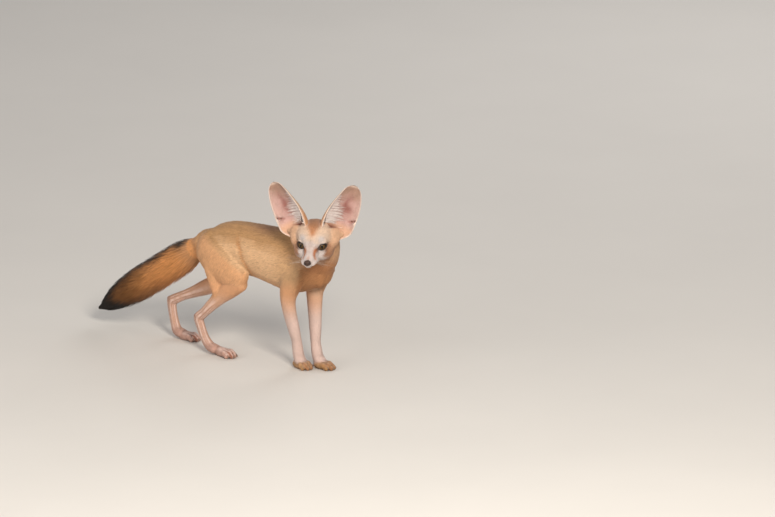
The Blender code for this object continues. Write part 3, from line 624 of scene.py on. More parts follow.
def makeTufts(name, paths, ups, widths, tints, places, glow=(0.93, 1.05), follow=0.8):
    # solid three-sided tufts. paths has a point for each ring and one for the tip; places are on the bake map
    count, rings = len(paths), paths.shape[1] - 1
    ahead = unit(paths[:, 1:] - paths[:, :-1])
    across = unit(np.cross(ahead, ups[:, None]))
    above = np.cross(across, ahead)
    half = widths[:, None, None] * np.array(ringWidths[rings])[None, :, None] / 2
    ring = np.stack([paths[:, :-1] - across * half, paths[:, :-1] + above * half * 0.6,
                     paths[:, :-1] + across * half], axis=2)
    points = np.concatenate([ring.reshape(count, rings * 3, 3), paths[:, -1:]], axis=1)
    sides = np.stack([-across - above * 0.6, above, across - above * 0.6], axis=2)
    sides = unit(np.concatenate([sides.reshape(count, rings * 3, 3), ups[:, None]], axis=1))
    follow = np.broadcast_to(np.asarray(follow, float), (count,))[:, None, None]
    normals = unit(ups[:, None] * follow + sides * (1 - follow))
    height = np.concatenate([np.repeat(np.arange(rings), 3), [rings]]) / rings
    shade = glow[0] + (glow[1] - glow[0]) * height
    if tints.ndim == 2:
        tints = np.repeat(tints[:, None], rings + 1, axis=1)
    colours = tints[:, np.minimum(np.arange(rings * 3 + 1) // 3, rings)] * shade[None, :, None]
    spread = np.concatenate([np.tile((-0.5, 0, 0.5), rings), [0]])
    maps = places[:, None] + np.stack([spread * (1 - height * 0.7), height], axis=1)[None] * bakePatch
    faces = (tuftTemplate(rings)[None] + (np.arange(count) * (rings * 3 + 1))[:, None, None]).reshape(-1, 3)
    return solidMesh(name, points.reshape(-1, 3), faces, normals.reshape(-1, 3), colours.reshape(-1, 3),
                     maps.reshape(-1, 2))


def solidMesh(name, points, faces, normals, colours, maps):
    data = bpy.data.meshes.new(name)
    points[:, 2] = np.maximum(points[:, 2], 0.05)
    data.vertices.add(len(points))
    data.vertices.foreach_set("co", ((points + shift) * mm).astype(np.float32).ravel())
    data.loops.add(faces.size)
    data.loops.foreach_set("vertex_index", faces.astype(np.int32).ravel())
    data.polygons.add(len(faces))
    data.polygons.foreach_set("loop_start", np.arange(0, faces.size, 3, dtype=np.int32))
    data.update(calc_edges=True)
    data.shade_smooth()
    data.normals_split_custom_set_from_vertices(normals.astype(np.float32))
    made = addObject(name, data)
    setTint(made, colours)
    bake = data.uv_layers.new(name="OFBake")
    bake.uv.foreach_set("vector", maps[faces.ravel()].astype(np.float32).ravel())
    return made


def onMap(across, along, edge=0.01):
    # a place on the bake map, kept off its edge
    return np.stack([across, along], axis=1) * (1 - 2 * edge) + edge


def roundAxis(points, middle, axis, low, high, half=None):
    # once round an axis, and along it from low to high, on the bake map or on one half of it
    local = points - middle
    others = [k for k in range(3) if k != axis]
    turn = np.arctan2(local[:, others[0]], local[:, others[1]]) / (2 * math.pi) + 0.5
    along = np.clip((points[:, axis] - low) / (high - low), 0, 1)
    if half is not None:
        turn = (turn + half) / 2
    return onMap(turn, along)


def mapPlaces(group, points):
    left = (points[:, 1] > 0).astype(float)
    if group == "torso":
        return roundAxis(points, (0, 0, 172), 0, -150, 125)
    if group == "neck":
        return roundAxis(points, (112, 0, 0), 2, 130, 245)
    if group in ("head", "face"):
        local = toHead(points)
        turn = np.arctan2(local[:, 1], local[:, 0] + 20) / (2 * math.pi) + 0.5
        rise = np.arctan2(local[:, 2] + 6, np.hypot(local[:, 0] + 20, local[:, 1])) / math.pi + 0.5
        return onMap(turn, rise)
    if group == "thigh":
        middle = np.where(left[:, None] > 0, (-94, 22, 0), (-50, -24, 0))
        return roundAxis(points, middle, 2, 80, 215, left)
    if group in ("foreleg", "paw"):
        middle = np.where(left[:, None] > 0, (104, 20, 0), (86, -18, 0))
        return roundAxis(points, middle, 2, 0, 180, left)
    middle = np.stack([points[:, 0] * 0, left * 22 - (1 - left) * 24, points[:, 2] * 0 + 60], axis=1)
    return roundAxis(points, middle, 0, -210, 10, left)


coatPieces = {
    # name: group, tufts, rings, share of dark-tipped tufts, side kept (1 left, -1 right, 0 both)
    "torso_coat_left": ("torso", 14000, 2, 0.08, 1),
    "torso_coat_right": ("torso", 14000, 2, 0.08, -1),
    "neck_coat": ("neck", 12500, 2, 0.07, 0),
    "thigh_coat": ("thigh", 13000, 2, 0.04, 0),
    "head_coat": ("head", 17500, 2, 0.05, 0),
    "face_coat": ("face", 21000, 1, 0.0, 0),
    "foreleg_coat": ("foreleg", 24000, 1, 0.0, 0),
    "shank_coat": ("shank", 21000, 1, 0.0, 0),
    "paw_coat": ("paw", 16000, 1, 0.0, 0),
}
coatSlots = {"torso": "fur_coat", "neck": "fur_coat", "thigh": "fur_coat", "head": "fur_face",
             "face": "fur_face", "foreleg": "fur_leg", "shank": "fur_leg", "paw": "fur_leg"}


def growCoat(name, skin, seed):
    group, count, rings, darkShare, kept = coatPieces[name]
    draw = np.random.default_rng(seed)
    triangles = skin["triangles"]
    centres = skin["points"][triangles].mean(axis=1)
    weight = skin["areas"] * skin["shares"][triangles][:, :, groupNames.index(group)].mean(axis=1) ** 1.5
    if kept:
        weight = weight * (centres[:, 1] * kept > 0)
    weight = weight * bareShare(centres)
    picked = scatter(weight, count, draw)
    corner = draw.random((count, 2))
    corner = np.where(corner.sum(axis=1, keepdims=True) > 1, 1 - corner, corner)
    mix = np.stack([1 - corner.sum(axis=1), corner[:, 0], corner[:, 1]], axis=1)[..., None]
    root, normal, way, tint, share = ((skin[key][triangles[picked]] * mix).sum(axis=1)
                                      for key in ("points", "normals", "ways", "tints", "shares"))
    normal, way = unit(normal), unit(way)
    length, width, lift = (share @ [settings[key] for settings in coatSettings.values()]
                           for key in ("length", "width", "lift"))
    length = length * draw.uniform(0.75, 1.25, count) * shorterShare(root)
    stray = draw.normal(0, 0.16, count)
    way = unit(way + np.cross(normal, way) * (stray + 0.13 * cloud(root, 26))[:, None])
    height = length * np.sin(lift * draw.uniform(0.6, 1.4, count))
    reach = np.sqrt(np.maximum(length**2 - height**2, 0.01))
    paths = np.empty((count, rings + 1, 3))
    paths[:, 0] = root - normal * 0.35
    for station in range(1, rings + 1):
        t = station / rings
        place, outwards = ontoSkin(skin["tree"], root + way * (reach * t)[:, None] + normal * 0.8)
        paths[:, station] = place + outwards * (height * t**0.8)[:, None]
    tint = tint * (1 + draw.normal(0, 0.06, (count, 1)) + 0.04 * cloud(root, 9)[:, None])
    dark = draw.random(count) < darkShare
    tint = np.where(dark[:, None], tint * 0.8, tint)
    good = lengths(paths[:, -1] - root) < length * 1.3
    good &= openPlace(paths[:, -1]) & openPlace(root)
    widths = width * draw.uniform(0.75, 1.25, count)
    return makeTufts(name, paths[good], normal[good], widths[good], tint[good], mapPlaces(group, root)[good])


def fromNose(local):
    # 1 on the surface of the nose leather, more outside it
    return lengths((local - noseSettings["place"]) / noseSettings["size"])


def bareShare(points):
    # 0 where no hair grows: between the lids, on the nose leather, in the mouth's line and under the soles
    share = np.ones(len(points))
    for side in (1, -1):
        ratio, local, _, _ = almond(points, side)
        share *= np.where((local[:, 0] > 0) & (lengths(local) < 13), ease(1.0, 1.12, ratio), 1)
    local = toHead(points)
    return share * ease(1.0, 1.2, fromNose(local)) * ease(0.8, 2.2, points[:, 2])


def openPlace(points):
    # False for a tip that would hang over an eye or the nose leather
    fine = np.ones(len(points), bool)
    for side in (1, -1):
        ratio, local, _, _ = almond(points, side)
        fine &= ~((local[:, 0] > 2) & (lengths(local) < 14) & (ratio < 1.02))
    local = toHead(points)
    return fine & (fromNose(local) > 1.12)


def shorterShare(points):
    # the hair is shortest round the eyes and at the front of the muzzle, longest on the cheeks
    local = toHead(points)
    share = np.where(lengths(local) < 60, 1 - 0.45 * ease(8, 34, local[:, 0]), 1)
    for side in (1, -1):
        ratio, place, _, _ = almond(points, side)
        near = (place[:, 0] > 0) & (lengths(place) < 18)
        share = np.where(near, share * (0.5 + 0.5 * ease(1.0, 2.4, ratio)), share)
    return share


# Markings, and the painted shade, shadow and highlight laid over them. Every colour of the coat is here, as a
# painter mixes it
coatColours = {
    "back": (180, 138, 94), "backDark": (150, 114, 82), "nape": (140, 98, 86), "flank": (216, 174, 132),
    "bellyInShade": (204, 154, 112), "thigh": (210, 158, 114), "fold": (190, 124, 64),
    "thighLow": (216, 160, 118), "leg": (214, 168, 138), "shin": (218, 190, 178), "meta": (198, 156, 134),
    "streakAndGrooveShade": (150, 92, 70), "bone": (240, 214, 202), "forepaw": (164, 124, 82),
    "hindpaw": (190, 150, 134), "neck": (186, 142, 112), "chestAndShade": (164, 108, 66),
    "throatAndShade": (166, 112, 74), "white": (210, 196, 189), "creamAndPaintedLight": (226, 196, 170),
    "bridgeShade": (176, 150, 140), "peach": (212, 168, 134), "upperLeg": (212, 154, 112),
    "rufous": (190, 128, 86), "crown": (150, 108, 78), "cheek": (160, 114, 84), "tear": (180, 106, 56),
    "dark": (52, 34, 24), "lip": (70, 48, 40), "tailTop": (74, 42, 15), "tailMid": (212, 144, 84),
    "tailLow": (186, 120, 66), "tailEnd": (92, 54, 14), "black": (24, 17, 9), "earBack": (192, 160, 132),
    "earBase": (204, 146, 102), "earPink": (197, 158, 149), "earRed": (156, 100, 90),
    "earTip": (162, 128, 106), "earRim": (238, 214, 196), "earHair": (238, 226, 220),
    "earCreaseShade": (112, 62, 46), "earFloor": (212, 166, 134), "earPale": (204, 168, 156),
    "earSlitShade": (140, 70, 58), "earBand": (176, 124, 108),
}
mixed = {name: colour(*value) for name, value in coatColours.items()}


def over(base, name, share):
    return blend(base, mixed[name], share)


def plainTint(name, count):
    return np.tile(mixed[name], (count, 1))


def layers(tint, *rows):
    # names of colours and their shares, each over the ones before it
    for name, share in rows:
        tint = over(tint, name, share)
    return tint


def spot(points, centre, size):
    # 1 at the centre, fading to 0; size may differ along each axis
    return np.exp(-(((points - np.array(centre)) / np.array(size)) ** 2).sum(axis=1))


def paintBody(points, normals, ways, shares):
    x, y, z = points.T
    up = normals[:, 2]
    patchy = cloud(points, 22) * 0.12
    share = {name: shares[:, index] for index, name in enumerate(groupNames)}
    neck, shank = ease(0.25, 0.8, share["neck"]), ease(0.3, 0.8, share["shank"])
    thigh = ease(0.2, 0.8, share["thigh"]) * (1 - ease(190, 206, z))
    rump = ease(-70, -110, x) * ease(0.2, 0.8, share["torso"])
    inner = ease(0.2, 0.85, -normals[:, 1] * np.sign(y)) * ease(150, 120, z)
    legs = share["thigh"] + share["foreleg"] + share["shank"]
    groove, ridge = sinews(points, normals, ways)
    streak = np.clip(0.75 + cloud(points * (1, 1, 0.35), 5) * 0.5, 0, 1)
    fore, paw, front = share["foreleg"], share["paw"], (x > 40).astype(float)
    mottle = np.clip(0.75 + cloud(points, 4) * 0.35, 0, 1)
    tail = ease(0.2, 0.8, share["tail"]) + ease(-118, -140, x) * ease(90, 120, z) * (np.abs(y) < 20)
    return layers(
        plainTint("flank", len(points)),
        ("back", ease(0.05, 0.75, up + patchy + (z - 185) / 90)),
        ("backDark", ease(0.75, 1.0, up + patchy) * ease(-110, -60, x) * 0.35),
        # the underside painted darker and oranger than its own cream, as shade with warm light thrown up from
        # the ground
        ("bellyInShade", ease(0.35, 0.85, -up + (140 - z) / 60) * ease(-80, -40, x) * 0.9),
        ("thigh", thigh),
        ("thighLow", thigh * ease(150, 112, z) * 0.8),
        ("tailMid", rump * ease(198, 170, z) * 0.85),
        # painted crease shade: a darker ochre line along the fold
        ("fold", foldShare(points) ** 1.5 * 0.6),
        ("creamAndPaintedLight", inner * legs * 0.6),
        ("back", ease(50, 85, x) * ease(120, 150, z) * 0.45),
        ("neck", neck * ease(0.9, -0.3, up) * 0.6),
        ("back", neck * ease(0.1, 0.6, up + (100 - x) / 60)),
        # the chest's own orange-brown, painted darker as shade under the head
        ("chestAndShade", ease(0.2, 0.9, normals[:, 0] + (x - 108) / 30) * ease(198, 180, z) * 0.8),
        # the throat's own brown, painted darker as shade under the head
        ("throatAndShade", spot(points, (140, -26, 190), (22, 22, 20)) * 0.8),
        # painted shade low on the chest between the forelegs, over its own orange-brown
        ("chestAndShade", spot(points, (110, -18, 134), (15, 16, 15)) * 0.8),
        # painted shadow of the head, cast on the withers
        ("nape", spot(points, (31, -12, 226), (30, 26, 11)) * 0.6),
        ("upperLeg", fore * ease(160, 130, z) * 0.85),
        # painted light: a pale patch lifting the top of the left foreleg out of the chest's shade
        ("creamAndPaintedLight", spot(points, (104, 18, 122), (15, 12, 24)) * 0.6),
        ("leg", fore * ease(130, 106, z)),
        ("shin", fore * ease(114, 76, z)),
        ("thighLow", shank),
        ("leg", shank * ease(112, 88, z)),
        ("meta", shank * ease(92, 60, z) * 0.85),
        # painted highlight along the ridges of the hind shanks
        ("bone", np.clip(ridge, 0, 1) * 0.75 * streak),
        # the shanks' own reddish streaks, with painted shade in the grooves between the ridges
        ("streakAndGrooveShade", np.clip(groove, 0, 1) * streak * (0.4 + 0.6 * ease(84, 66, z))),
        # painted shade at the back of the right elbow
        ("streakAndGrooveShade", spot(points, (66, -27, 118), (6, 6, 6)) * 0.5),
        ("forepaw", ease(0.1, 0.9, paw) * ease(28, 11, z + cloud(points, 7) * 5) * front * mottle),
        ("hindpaw", np.maximum(paw, ease(24, 12, z)) * (1 - front) * (x > -215)),
        # painted highlight on the upward-facing tops of the paws
        ("bone", paw * ease(0.3, 0.95, up) * (0.5 - 0.38 * front)),
        # painted shade in the clefts between the toes
        ("streakAndGrooveShade", paw * between(points) * (0.95 - 0.45 * front)),
        ("tailMid", np.clip(tail, 0, 1)),
    )


def between(points):
    # 1 in the clefts between the toes
    share = np.zeros(len(points))
    for x, y, heading, _ in paws.values():
        local = (points - (x, y, 0)) @ rotation(0, 0, heading)
        near = (np.abs(local[:, 0] - 6) < 16) & (np.abs(local[:, 1]) < 14)
        cleft = sum(bell((local[:, 1] - side) / 0.8) for side in (-5.9, 0, 5.9))
        share += near * cleft * ease(-4, 3, local[:, 0])
    return np.clip(share, 0, 1)


def paintHead(points):
    local = toHead(points)
    x, y, z = local.T
    side = np.abs(y)
    patchy = cloud(points, 13)
    tint = layers(
        plainTint("cheek", len(points)),
        ("creamAndPaintedLight", ease(-2, 8, z) * ease(-48, -34, x) * 0.95),
        ("peach", ease(22, 30, side) * ease(-14, 2, z) * 0.9),
        ("neck", ease(-34, -50, x) * 0.85),
    )
    wedge = ease(6.0, -3.5, side - (z - 14) * 0.64 + patchy) * ease(11, 19, z)
    tint = over(tint, "rufous", wedge * 0.95)
    tint = over(tint, "crown", ease(23, 32, z + patchy * 1.5) * ease(14, 8, side) * 0.85)
    white = ease(10, 5, z + patchy - 1.5 * np.cos(y / 5)) * ease(-16, -6, x + patchy * 2)
    white = white * ease(23, 18, side + patchy * 0.6 + np.clip(-8 - z, 0, 6) * 0.5)
    tint = over(tint, "white", white)
    for sign in (1, -1):
        tint = over(tint, "white", np.clip(spot(local, (0, sign * 12.5, 10.5), (12, 7.5, 5)) * 1.5, 0, 1))
        tint = over(tint, "white", np.clip(spot(local, (-17, sign * 13, 34), (9, 3.6, 6)) * 1.4, 0, 1))
        fold = [(-13, sign * 29, 23.5), (-12, sign * 24, 22.5), (-9, sign * 18, 21)]
        crease = nearPath(local * (0.4, 1, 1), fold)
        # painted shade in the crease where each ear meets the head
        tint = over(tint, "earCreaseShade", bell(crease / 1.5) * 0.85)
    tint = layers(
        tint,
        ("white", ease(-13, -21, z) * ease(-10, 2, x) * 0.95),
        # under the jaw: the throat's own brown, painted darker as shade under the head
        ("throatAndShade", ease(-14, -26, z) * ease(2, -12, x) * 0.6),
        ("earPink", ease(22, 34, z) * ease(26, 36, side) * 0.7),
        # painted shade, greyish mauve, on the bridge between the eyes
        ("bridgeShade", spot(local, (14, 0, 4), (14, 4.5, 9)) * 0.55),
        ("tear", spot(local, (34, 0, -9), (5, 2.8, 4)) * 0.45),
        ("cheek", np.clip(cloud(points, 5), 0, 1) * 0.14),
    )
    for sign in (1, -1):
        path = ((1, 9.6, -2), (5, 8.6, -2.4), (11, 7.0, -1.5), (17, 6.9, -3.5), (22, 7.6, -7), (26, 9.4, -12))
        near = nearPath(local * (0.5, 1, 0.5), [(a * 0.5, sign * b, c * 0.5) for a, b, c in path])
        tint = over(tint, "tear", bell(near / 2.4) * ease(30, 23, x))
        ratio, place, _, _ = almond(points, sign)
        inFront = (place[:, 0] > 0) & (lengths(place) < 16)
        rim = ease(1.22, 1.05, ratio) * inFront
        tint = over(tint, "dark", rim * 0.9)
        corner = spot(place, (3.5, -sign * 11.0, -1.5), (7, 3.0, 1.5))
        corner = corner + spot(place, (3, sign * 10.2, 0.4), (5, 1.7, 1.0))
        tint = over(tint, "dark", np.clip(corner * 1.7, 0, 1) * 0.95)
    tint = over(tint, "dark", ease(1.22, 1.04, fromNose(local)))
    return over(tint, "lip", mouthShare(local) * (x > 8) * 0.85)


def nearPath(points, path):
    # distance to a line through a few points
    path = np.array(path, float)
    found = np.full(len(points), 1e9)
    for a, b in zip(path, path[1:]):
        t = np.clip((points - a) @ (b - a) / ((b - a) ** 2).sum(), 0, 1)[:, None]
        found = np.minimum(found, lengths(points - a - (b - a) * t))
    return found


def paint(points, normals, ways, shares):
    head = shares[:, groupNames.index("head")] + shares[:, groupNames.index("face")]
    return blend(paintBody(points, normals, ways, shares), paintHead(points), ease(0.3, 0.7, head))


# The tail's brush: long locks along it, dark on top and black at the tip
tailSettings = {"seed": 41, "under": 3800, "outer": 12200, "length": 44.0, "width": 1.3, "sway": 0.13}


def tailPoint(distance, angle, share):
    # a point along the tail, round it from its left side and out from its middle, with the way out
    rows, distances = tailLine()
    inside = np.clip(distance, 0, distances[-1])
    slopes = np.gradient(rows[:, :3], distances, axis=0)
    centre = np.stack([np.interp(inside, distances, rows[:, k]) for k in range(3)], axis=1)
    ahead = unit(np.stack([np.interp(inside, distances, slopes[:, k]) for k in range(3)], axis=1))
    radius = np.interp(inside, distances, rows[:, 3])
    side = np.array((0.0, 1.0, 0.0))
    out = side * np.cos(angle)[:, None] + np.cross(side, ahead) * np.sin(angle)[:, None]
    return centre + ahead * (distance - inside)[:, None] + out * (radius * share)[:, None], out


def paintTail(distance, angle, points):
    # angle 90 degrees is the top edge
    end = tailLine()[1][-1]
    top = ease(0.35, 0.95, np.sin(angle) + cloud(points, 12) * 0.18)
    tint = layers(
        plainTint("tailMid", len(points)),
        # the underside of the tail painted darker, as shade
        ("tailLow", ease(0.2, 1.0, -np.sin(angle)) * ease(20, 60, distance) * 0.6),
        ("tailTop", top * ease(22, 46, distance) * 0.92),
        ("tailEnd", ease(end - 170, end - 75, distance + cloud(points, 15) * 10) * 0.9),
        ("thigh", ease(34, 8, distance) * 0.6),
    )
    patch = spot(np.stack([distance, angle % (2 * math.pi)], axis=1), (23, 1.72), (11, 0.8))
    tint = over(tint, "black", np.clip(patch * 2.2, 0, 1) * 0.97)
    ridge = ease(0.72, 0.95, np.sin(angle) + cloud(points, 9) * 0.1) * ease(26, 48, distance)
    tint = over(tint, "black", ridge * 0.8)
    above, below = np.clip(np.sin(angle) - 0.45, 0, 1), np.clip(-np.sin(angle) - 0.4, 0, 1)
    reach = distance + above * 100 + below * 40 + cloud(points, 10) * 7
    return over(tint, "black", ease(end - 66, end - 34, reach))


def growTail():
    settings = tailSettings
    draw = np.random.default_rng(settings["seed"])
    rows, distances = tailLine()
    end, steps = distances[-1], 400
    girth = np.interp(np.linspace(0, 1, steps), np.linspace(0, 1, len(rows)), rows[:, 3])
    made = []
    for name, count, tip, width in (("tail_under_coat", settings["under"], (0.55, 0.85), 1.5),
                                    ("tail_coat", settings["outer"], (0.82, 1.09), 1.0)):
        picked = scatter(girth + 9, count, draw)
        start = (picked + draw.random(count)) / steps * (end - 12) - 4
        angle = draw.uniform(0, 2 * math.pi, count)
        length = settings["length"] * draw.uniform(0.72, 1.2, count)
        length = np.minimum(length, end + draw.uniform(-6, 3, count) - start)
        sway = draw.normal(0, settings["sway"], count) + 0.1 * np.sin(start / 17 + angle * 2)
        core = np.interp(start, (0, 8, 26, 60, end - 16, end), (0.9, 0.76, 0.5, 0.4, 0.34, 0.15))
        peak = draw.uniform(*tip, count)
        peak = np.where(start + length > end - 6, peak * 0.8, peak)
        peak = peak + 0.1 * draw.random(count) * (np.sin(angle) < -0.3)
        paths = []
        for t in np.arange(4) / 3:
            share = core * 0.92 + (peak - core * 0.92) * math.sin(t * math.pi / 2) ** 0.9
            point, out = tailPoint(start + length * t, angle + sway * t**1.5, share)
            paths.append(point)
            if t == 0:
                ups = out
        paths = np.stack(paths, axis=1)
        tint = np.stack([paintTail(start + length * share, angle, paths[:, station])
                         for station, share in enumerate((0.15, 0.45, 0.75, 1.0))], axis=1)
        grizzle = (draw.random(count) < 0.3) & (np.sin(angle) > 0.1) & (start > 45)
        tint = tint * (np.where(grizzle, 0.65, 1) * (1 + draw.normal(0, 0.09, count)))[:, None, None]
        turn = (angle / (2 * math.pi)) % 1
        places = onMap(turn, np.clip(start / end, 0, 1))
        widths = settings["width"] * width * draw.uniform(0.7, 1.3, count)
        made.append(makeTufts(name, paths, ups, widths, tint, places, glow=(0.82, 1.1), follow=0.65))
    return made


# Ears, in the head's frame: height over the root, half width, shift to the outer side, depth of the cup,
# half angle of the fold
earRows = [(-10, 18, 0, 12, 112), (-3, 23.5, 2.2, 14.5, 108), (4, 26.6, 3.4, 16.4, 104),
           (15, 27, 3.3, 17.5, 98), (31, 26.2, 4, 15.5, 91), (46, 23.6, 4.4, 12.5, 86),
           (60, 19.4, 4.4, 9.4, 82), (70, 15.4, 3.8, 6.6, 79), (76.5, 10.8, 3, 4.2, 76),
           (80.2, 5.6, 2.8, 2.2, 74), (81.2, 2.2, 2.8, 1.2, 74)]
earSettings = {"place": (-27, 29.5, 20), "lean": {1: 21.5, -1: 28.0}, "facing": 27.0, "thickness": 1.5,
               "columns": 44, "seed": 23}
earTable = smoothRows(earRows, 6)


def earAxes(side):
    lean, facing = math.radians(earSettings["lean"][side]), math.radians(earSettings["facing"])
    axis = unit(np.array((-0.06, side * math.sin(lean), math.cos(lean))))
    front = np.array((math.cos(facing), side * math.sin(facing), 0))
    front = unit(front - front @ axis * axis)
    x, y, z = earSettings["place"]
    return axis, front, np.cross(front, axis) * -side, np.array((x, side * y, z))


def earRelief(u, height):
    # how far the inner face stands out: the pocket at the outer margin, the cup's bottom and its creases
    slit = height - slitHeight(u)
    under = np.clip(18 - np.maximum(height, -4), 0, None)
    rise = 1.0 * bell((slit - 2.2) / 2.0) * ease(0.5, 0.66, u)
    rise -= 2.4 * bell((slit + 1.2) / 1.5) * ease(0.42, 0.62, u) * ease(1.0, 0.92, u)
    rise += 1.9 * bell((slit + 6.5) / 3.6) * ease(0.58, 0.76, u)
    rise += 1.2 * bell((u - 0.1 - height / 110) / 0.09, (height - 20) / 26)
    return rise + (0.22 * under + 0.011 * under**2) * ease(-0.55, 0.15, u) * ease(1.03, 0.5, u)


def slitHeight(u):
    # the line of the pocket at the outer margin
    return 20 + (u - 0.6) * 17


def earAt(row, column):
    return np.interp(row, np.arange(len(earTable)), earTable[:, column])


def earRowAt(height):
    return np.interp(height, earTable[:, 0], np.arange(len(earTable)))


def earPoint(side, row, u, lift):
    # row runs along the ear, u across it from the inner margin (-1) to the outer (1), lift out of its back
    axis, front, outer, root = earAxes(side)
    height, width, shiftOut, depth, fold = (earAt(row, column) for column in range(5))
    fold = np.radians(fold)
    half = width / np.sin(np.minimum(fold, math.pi / 2))
    angle = u * fold
    awayX, awayY = np.sin(angle) / np.maximum(half, 1), -np.cos(angle) / np.maximum(depth, 1)
    scale = lift / np.maximum(np.hypot(awayX, awayY), 1e-6)
    sideways = shiftOut + half * np.sin(angle) + awayX * scale
    backwards = depth * (np.cos(angle) - np.cos(np.minimum(fold, math.pi / 2))) - awayY * scale
    local = root + axis * height[:, None] + outer * sideways[:, None] - front * backwards[:, None]
    return fromHead(local), height


def earSheet(side, row, u, face):
    # a point on one face, 1 the back and -1 the inside, with its normal
    height = earAt(row, 0)
    thick = earSettings["thickness"] / 2 * (1 - 0.35 * ease(0.75, 1.0, np.abs(u)))
    thick = thick * (1 - 0.4 * ease(60, 81, height))
    lift = np.where(face > 0, thick, -thick - earRelief(u, height))
    point, height = earPoint(side, row, u, lift)
    further, _ = earPoint(side, row, u, lift + face * 0.5)
    return point, unit(further - point), height


def paintEar(u, height, face, points):
    patchy = cloud(points, 14) * 0.12
    slit = height - slitHeight(u)
    back = layers(
        plainTint("earBack", len(u)),
        ("earBase", ease(34, 8, height) * 0.85),
        ("earRim", ease(0.9, 1.0, np.abs(u)) * 0.6),
    )
    inside = layers(
        plainTint("earPink", len(u)),
        ("earPale", ease(0.35, 0.75, u) * ease(66, 40, height) * 0.75),
        ("earTip", ease(40, 70, height + patchy * 40 - 8 * u) * 0.85),
        ("earRed", bell((u - 0.16 - patchy) / 0.17, (height - 40) / 20) * 0.95),
        ("earRed", bell((u + 0.3) / 0.3, (height - 30) / 20) * 0.3),
        ("earFloor", ease(15, 4, height) * 0.85),
        # painted shade in the crease at the inner base of the cup
        ("earCreaseShade", bell((u + 0.12) / 0.3, (height - 1) / 4.5) * 0.95),
        ("earPale", bell((slit + 6.5) / 3.6) * ease(0.6, 0.75, u) * 0.6),
        ("earRed", bell((slit + 5.0) / 3.2) * ease(0.5, 0.7, u) * ease(1.0, 0.9, u) * 0.4),
        # painted shade in the pocket's dip at the outer margin
        ("earSlitShade", bell((slit + 1.0) / 1.6) * ease(0.4, 0.6, u) * 0.95),
        ("earRim", ease(0.86, 0.98, np.abs(u)) * 0.8),
        ("earBand", bell((u + 0.78) / 0.17) * ease(56, 30, height) * ease(2, 10, height) * 0.7),
        ("earRim", ease(-0.86, -0.97, u) * 0.7),
        ("earRim", ease(75, 80, height) * 0.7),
    )
    return np.where((face > 0)[:, None], back, inside)


def makeEar(name, side):
    columns, rows = earSettings["columns"], len(earTable)
    u = np.linspace(-1, 1, columns)
    across = np.concatenate([u, [1.012], u[::-1], [-1.012]])
    face = np.concatenate([np.ones(columns), [1], -np.ones(columns), [1]])
    rim = np.abs(across) > 1
    points, tints = [], []
    for row in range(rows):
        rowAt = np.full(len(across), float(row))
        point, _, height = earSheet(side, rowAt, np.clip(across, -1, 1), face)
        edge, _ = earPoint(side, rowAt, across, np.zeros(len(across)))
        point = np.where(rim[:, None], edge, point)
        points.append(point)
        tints.append(np.where(rim[:, None], mixed["earRim"], paintEar(across, height, face, point)))
    made = newMesh(name, np.vstack(points), tubeFaces(rows, len(across)))
    setTint(made, np.vstack(tints))
    return made


earCoats = {
    # name: tufts, face, u from and to, rows from and to, length, width, lift, share of the ear's shading
    "back": (8500, 1, (-0.97, 0.97), (7, 58), 4.0, 0.7, 0.08, 0.75),
    "lining": (7000, -1, (-0.98, 0.98), (12, 59), 1.9, 0.38, 0.12, 0.75),
    "inner_margin": (1200, -1, (-1, -0.93), (10, 59), 3.4, 0.36, 0.15, 0.3),
    "outer_margin": (1200, -1, (0.94, 1), (9, 59), 2.2, 0.34, 0.15, 0.3),
}
combSettings = {"rows": 11, "from": 8.0, "to": 56.0, "perRow": 80, "length": (20.0, 29.0, 24.0, 15.0, 7.0),
                "width": 0.4}


def growEar(name, side):
    draw = np.random.default_rng(earSettings["seed"] + side)
    made, steps = [], 200
    for kind, (count, face, acrossRange, rowRange, length, width, lift, follow) in earCoats.items():
        rowLow, rowHigh = rowRange
        picked = scatter(earAt(np.linspace(rowLow, rowHigh, steps), 1) + 2, count, draw)
        row = rowLow + (picked + draw.random(count)) / steps * (rowHigh - rowLow)
        u = draw.uniform(*acrossRange, count)
        faces = np.full(count, float(face))
        root, normal, height = earSheet(side, row, u, faces)
        ahead = unit(earSheet(side, row + 0.5, u, faces)[0] - root)
        outwards = unit(earSheet(side, row, u + 0.02, faces)[0] - root)
        fan = draw.normal(0, 0.15, count) + (0.5 * np.sign(u) if "margin" in kind else 0.1 * u)
        way = unit(ahead + outwards * fan[:, None])
        long = length * draw.uniform(0.7, 1.25, count) * (1 - 0.72 * ease(58, 80, height))
        if kind == "inner_margin":
            long = long * (1 + 1.3 * ease(18, 4, height))
        path = np.stack([root - normal * 0.3] +
                        [root + way * (long * reach)[:, None] + normal * (long * lift * rise)[:, None]
                         for reach, rise in ((0.5, 0.7), (1, 0.8))], axis=1)
        tint = paintEar(u, height, faces, root)
        if face < 0:
            tint = over(tint, "earHair", 0.22 + 0.5 * ease(0.6, 0.95, u) + 0.5 * ease(0.88, 0.98, -u))
        tint = tint * (1 + draw.normal(0, 0.09, (count, 1)))
        place = onMap((u + 1) / 4 + (0.5 if face < 0 else 0), row / len(earTable), 0.02)
        path = path if "margin" in kind else path[:, [0, 2]]
        widths = width * draw.uniform(0.7, 1.3, count)
        made.append(makeTufts(f"{name}_{kind}", path, normal, widths, tint, place, glow=(0.96, 1.04),
                              follow=follow * (1 - 0.8 * ease(0.72, 0.92, np.abs(u)))))
    made.append(growComb(name, side, draw))
    return made


